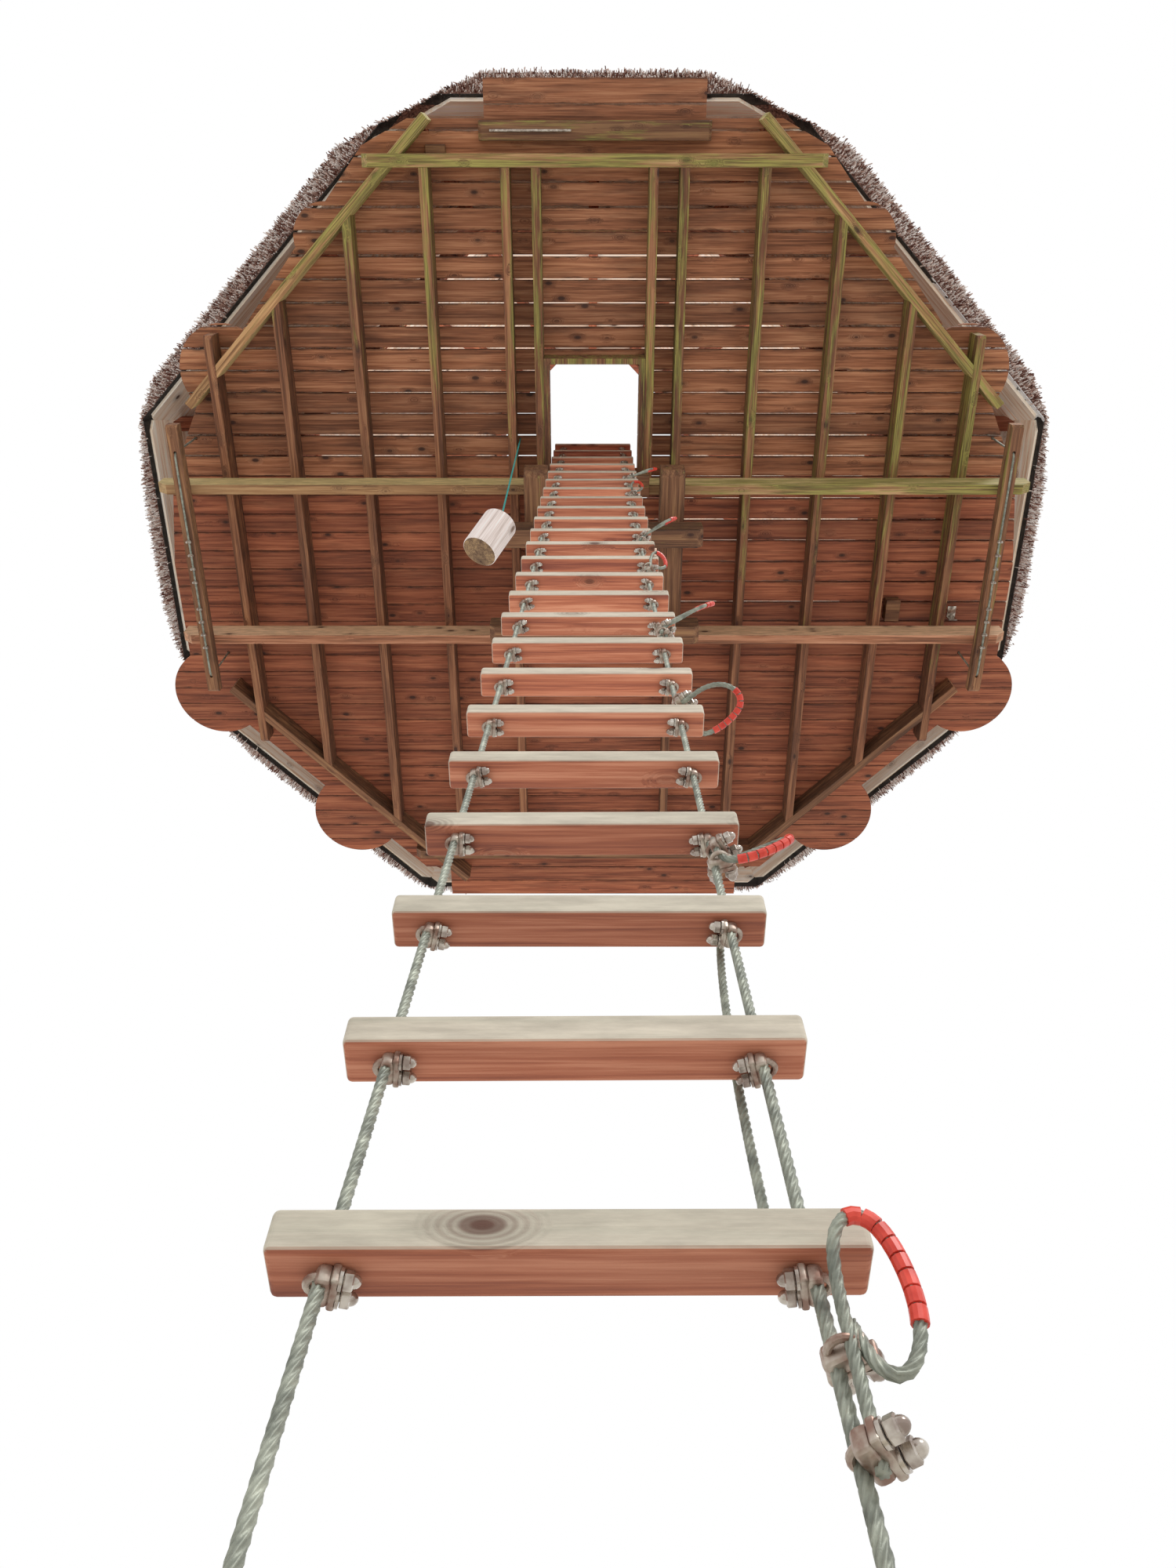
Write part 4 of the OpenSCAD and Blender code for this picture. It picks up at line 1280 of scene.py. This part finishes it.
# Each hand loop: its rung, how far above it the loop is set, its shape, and its turn about
# the rope in radians
HAND_LOOPS = ((6, 0.0, UPRIGHT, 0.0), (8, 0.27, LYING, 0.1), (11, 0.0, OUTWARD, 0.0),
              (14, 0.0, SLANTED, 0.0), (17, 0.04, UPRIGHT, 0.4), (19, 0.0, SLANTED, -0.1),
              (23, 0.04, UPRIGHT, -0.1), (25, 0.0, SLANTED, 0.1))

# The tape is wound on in eight wraps of seven steps each along the loop
LOOP_STEP = 0.002
WRAPS = 8
WRAP_STEP = 7
TAPE_THICK = 0.0015
LOOP_CLIP_AT = (0.006, -0.008)
LOOP_CLIP_SIZE = 1.15

# A spare end of the second loop's rope runs down behind the rungs. Each place: how many rungs
# down, and how far off the ladder's rope there
SPARE_END = ((0, 0, 0.036, 0.06), (0, -0.012, 0.037, -0.03), (1, -0.022, 0.038, 0),
             (2, -0.02, 0.036, 0))


def make_loops():
    """Hand loops of wire rope on the right rope, each wound with tape and clipped to it."""
    ropes = ([], [])
    wraps = ([], [])
    bodies = ([], [])
    nuts = ([], [])
    for k, rise, shape, swing in HAND_LOOPS:
        share = rise / (RUNGS[k + 1].z - RUNGS[k].z)
        at = RUNGS[k].lerp(RUNGS[k + 1], share) + Vector((ROPE_X, 0, 0))
        place = Matrix.Translation(at) @ lean_near(at.z) @ Matrix.Rotation(swing, 4, "Z")
        line = [place @ p for p in rounded(shape["rope"])]
        laid_rope(ropes, line, LOOP_D, LOOP_LAY, steps_a_turn=10)
        path = smooth_path(line, LOOP_STEP)
        for n in range(WRAPS):
            start = int(shape["tape"] / LOOP_STEP) + n * WRAP_STEP
            laid = [Vector(p) for p in path[start:start + WRAP_STEP]]
            bar(wraps, laid, LOOP_D + 2 * TAPE_THICK, STILL, 12)
        for z, turn in shape["clips"]:
            at = Matrix.Translation((*LOOP_CLIP_AT, z)) @ Matrix.Rotation(turn, 4, "Z")
            rope_clip(bodies, nuts, place @ at @ Matrix.Scale(LOOP_CLIP_SIZE, 4))
    first = HAND_LOOPS[1][0]
    spare = [RUNGS[first - n] + Vector((ROPE_X + x, y, z)) for n, x, y, z in SPARE_END]
    laid_rope(ropes, rounded(spare), LOOP_D, LOOP_LAY, steps_a_turn=10)
    piece(mesh_of("hand_loop_ropes", *ropes), wire, ["hand_loops"], True)
    piece(mesh_of("hand_loop_tape", *wraps), tape, (), True, CREASE)
    clip_pieces("hand_loop_clip", bodies, nuts)


# Side ropes: two groups of four clips, how far the ends stand in from the solid's ends, the
# bend at each end of the beam, and the ferrule that ends the rope, as (along, radius)
SIDE_CLIPS = [start + 0.078 * i for start in (-0.155, 0.238) for i in range(4)]
SIDE_CLIP_SIZE = 0.8
END_INSET = 0.02
BEND_R = 0.03
FERRULE = ((-0.004, 0.006), (-0.004, 0.018), (0.014, 0.02), (0.02, 0.014), (0.02, 0.006))


def make_side_ropes():
    """A rope on each side, from its purlin down and along under the side beam."""
    for node in ("side_rope_left", "side_rope_right"):
        low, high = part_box(node)
        beam_low, beam_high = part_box(node.replace("rope", "beam"))
        x = (beam_low.x + beam_high.x) / 2
        y0 = low.y + END_INSET
        y1 = high.y - END_INSET
        under = beam_low.z - ROPE_D / 2
        bend = [(BEND_R * (1 - math.cos(a)), under + BEND_R * (1 - math.sin(a)))
                for a in np.radians((0, 30, 60, 90))]
        top = high.z - ROPE_D / 2
        line = [(x, y0, top)] + [(x, y0 + d, z) for d, z in bend]
        line += [(x, y1 - d, z) for d, z in bend[::-1]] + [(x, y1, top)]
        rope = ([], [])
        laid_rope(rope, line, ROPE_D, ROPE_LAY)
        for y in (y0, y1):
            at = Matrix.Translation((x, y, top)) @ Matrix.Rotation(math.pi / 2, 4, "Y")
            turned(rope, FERRULE, at, 18)
        piece(mesh_of(node + "_wire", *rope), wire, [node], True)
        bodies = ([], [])
        nuts = ([], [])
        for y in SIDE_CLIPS:
            down = Matrix.Rotation(math.pi / 2, 4, "Y") @ Matrix.Rotation(math.pi / 2, 4, "X")
            at = Matrix.Translation((x, DECK_Y + y, under))
            rope_clip(bodies, nuts, at @ down @ Matrix.Scale(SIDE_CLIP_SIZE, 4))
        clip_pieces(node + "_clip", bodies, nuts)


# Small fittings under the deck. By the far girder stand a block and a bracket, each given
# from X to X; a block at the near edge is given by two corners; a rod lies under the nose beam
GIRDER_BLOCK = (1.755, 1.84)
GIRDER_BLOCK_W = 0.13
GIRDER_BLOCK_H = 0.075
EDGE_BLOCK = ((-0.86, -1.915), (-0.76, -1.865))
EDGE_BLOCK_H = 0.045
BLOCK_ROUND = 0.003
BRACKET = (2.15, 2.2)
BRACKET_W = 0.07
BRACKET_H = 0.06
PLATE = 0.004
PLATE_ROUND = 0.001
ROD = (-0.53, -0.12)
ROD_D = 0.012
ROD_DROP = 0.004


def make_fittings():
    """Small blocks, a bracket and a rod on the underside of the deck."""
    deck_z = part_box("deck_near")[0].z
    girder_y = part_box("girder_far")[0].y
    nose_low, nose_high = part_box("nose_beam")
    blocks = ([], [])
    soft_block(blocks, (GIRDER_BLOCK[0], girder_y - GIRDER_BLOCK_W, deck_z - GIRDER_BLOCK_H),
               (GIRDER_BLOCK[1], girder_y, deck_z), BLOCK_ROUND, STILL, 2)
    soft_block(blocks, (*EDGE_BLOCK[0], deck_z - EDGE_BLOCK_H), (*EDGE_BLOCK[1], deck_z),
               BLOCK_ROUND, STILL, 2)
    mesh = mesh_of("small_blocks", *blocks)
    give_grain(mesh, "blocks", RIGHT)
    piece(mesh, beam_timber)
    steel = ([], [])
    rod_y = (nose_low.y + nose_high.y) / 2
    bar(steel, [(x, rod_y, nose_low.z - ROD_DROP) for x in ROD], ROD_D, STILL)
    soft_block(steel, (BRACKET[0], girder_y - BRACKET_W, deck_z - PLATE),
               (BRACKET[1], girder_y, deck_z), PLATE_ROUND, STILL, 2)
    soft_block(steel, (BRACKET[0], girder_y - PLATE, deck_z - BRACKET_H),
               (BRACKET[1], girder_y, deck_z), PLATE_ROUND, STILL, 2)
    piece(mesh_of("small_steel", *steel), nut_steel, (), True, CREASE)


LOG_ARRIS = 0.006
END_FACE = 0.8
CORD_STEPS = 24
CORD_STRANDS = 4
CORD_VALLEY = 0.08


def make_log():
    """The log, with its darker cut ends, and the cord that it hangs on."""
    bm = whole_solid("hanging_log")
    ends = [e for e in bm.edges if e.calc_face_angle(0) > SHARP]
    bmesh.ops.bevel(bm, geom=ends, offset=LOG_ARRIS, segments=3, profile=0.5,
                    affect="EDGES")
    mesh = settled("swing_log", bm)
    give_grain(mesh, "log")
    axis = long_axis(coordinates(mesh))
    piece(mesh, log_wood, ["hanging_log"])
    mesh.materials.append(log_end)
    for face in mesh.polygons:
        face.material_index = int(abs(face.normal.dot(axis)) > END_FACE)

    top = Vector(CORD_TOP)
    path = [top - UP * (CORD_LENGTH * i / CORD_STEPS) for i in range(CORD_STEPS + 1)]
    rope = ([], [])
    laid_rope(rope, path, CORD_D, CORD_LAY, 8, CORD_STRANDS, CORD_VALLEY)
    cord = piece(mesh_of("swing_cord", *rope), nylon, ["log_cord"], True)


def add_camera():
    """Looks steeply up the ladder."""
    data = bpy.data.cameras.new("ladder_view")
    data.lens = LENS
    data.sensor_width = SENSOR
    data.clip_start = 0.05
    data.clip_end = 200
    camera = bpy.data.objects.new("ladder_view", data)
    camera.location = EYE
    camera.rotation_euler = (VIEW_TILT, 0, 0)
    bpy.context.scene.collection.objects.link(camera)
    bpy.context.scene.camera = camera


FLOOR_SIZE = 120
FLOOR_GAP = 0.01


def add_floor():
    """A plain pale floor just under the ladder's end."""
    half = FLOOR_SIZE / 2
    z = cad_low.z - FLOOR_GAP
    mesh = mesh_of("studio_floor", [(-half, -half, z), (half, -half, z), (half, half, z),
                                    (-half, half, z)], [[0, 1, 2, 3]])
    material, _, shader = finish_of("matt_floor", 0.9)
    shader.inputs["Base Color"].default_value = srgb("#e9e7e2")
    mesh.materials.append(material)
    floor = bpy.data.objects.new("studio_floor", mesh)
    bpy.context.scene.collection.objects.link(floor)


def add_lamp(name, kind, energy, place, aim, size):
    """A lamp that looks from one place at another."""
    data = bpy.data.lights.new(name, kind)
    data.energy = energy
    if kind == "SUN":
        data.angle = size
    else:
        data.size = size
    lamp = bpy.data.objects.new(name, data)
    lamp.location = place
    toward = Vector(aim) - Vector(place)
    lamp.rotation_euler = toward.to_track_quat("-Z", "Y").to_euler()
    bpy.context.scene.collection.objects.link(lamp)


# Strengths of the lights. The room lamp stands above the top rung and shines up at the roof
SKY_LIGHT = 0.72
SUN_LIGHT = 1.3
SUN_FROM = (3.5, -5, 6.5)
SUN_SPREAD = math.radians(12)
ROOM_LIGHT = 45
ROOM_LAMP_AT = (0, DECK_Y, 1.15)
ROOM_LAMP_AIM = (0, DECK_Y, 3)
ROOM_LAMP_SIZE = 1.6


def add_light():
    """Even light from a pale sky, one soft sun, and a lamp in the room under the roof."""
    world = bpy.data.worlds.new("pale_sky")
    bpy.context.scene.world = world
    world.use_nodes = True
    tree = world.node_tree
    tree.nodes.clear()
    sky = add(tree, "Background", {"Color": (1, 1, 1, 1), "Strength": SKY_LIGHT})
    white = add(tree, "Background", {"Color": (1, 1, 1, 1), "Strength": 1.0})
    path = add(tree, "LightPath")
    seen = add(tree, "Math", {0: path.outputs["Is Camera Ray"],
                              1: path.outputs["Is Glossy Ray"]}, operation="MAXIMUM")
    shown = add(tree, "Math", {0: seen.outputs[0],
                               1: path.outputs["Is Transmission Ray"]}, operation="MAXIMUM")
    mix = add(tree, "MixShader", {0: shown.outputs[0], 1: sky.outputs[0],
                                  2: white.outputs[0]})
    add(tree, "OutputWorld", {"Surface": mix.outputs[0]})
    add_lamp("soft_sun", "SUN", SUN_LIGHT, SUN_FROM, (0, 0, 0), SUN_SPREAD)
    add_lamp("room_lamp", "AREA", ROOM_LIGHT, ROOM_LAMP_AT, ROOM_LAMP_AIM, ROOM_LAMP_SIZE)


bpy.context.scene.view_settings.view_transform = "Standard"

add_camera()
make_log()
add_floor()
add_light()
make_frame_timbers()
make_deck()
make_soffit()
make_felt()
make_thatch()
make_walls()
make_rungs()
make_ladder_ropes()
make_clips()
make_loops()
make_side_ropes()
make_fittings()
refinish("window_glass", glass)
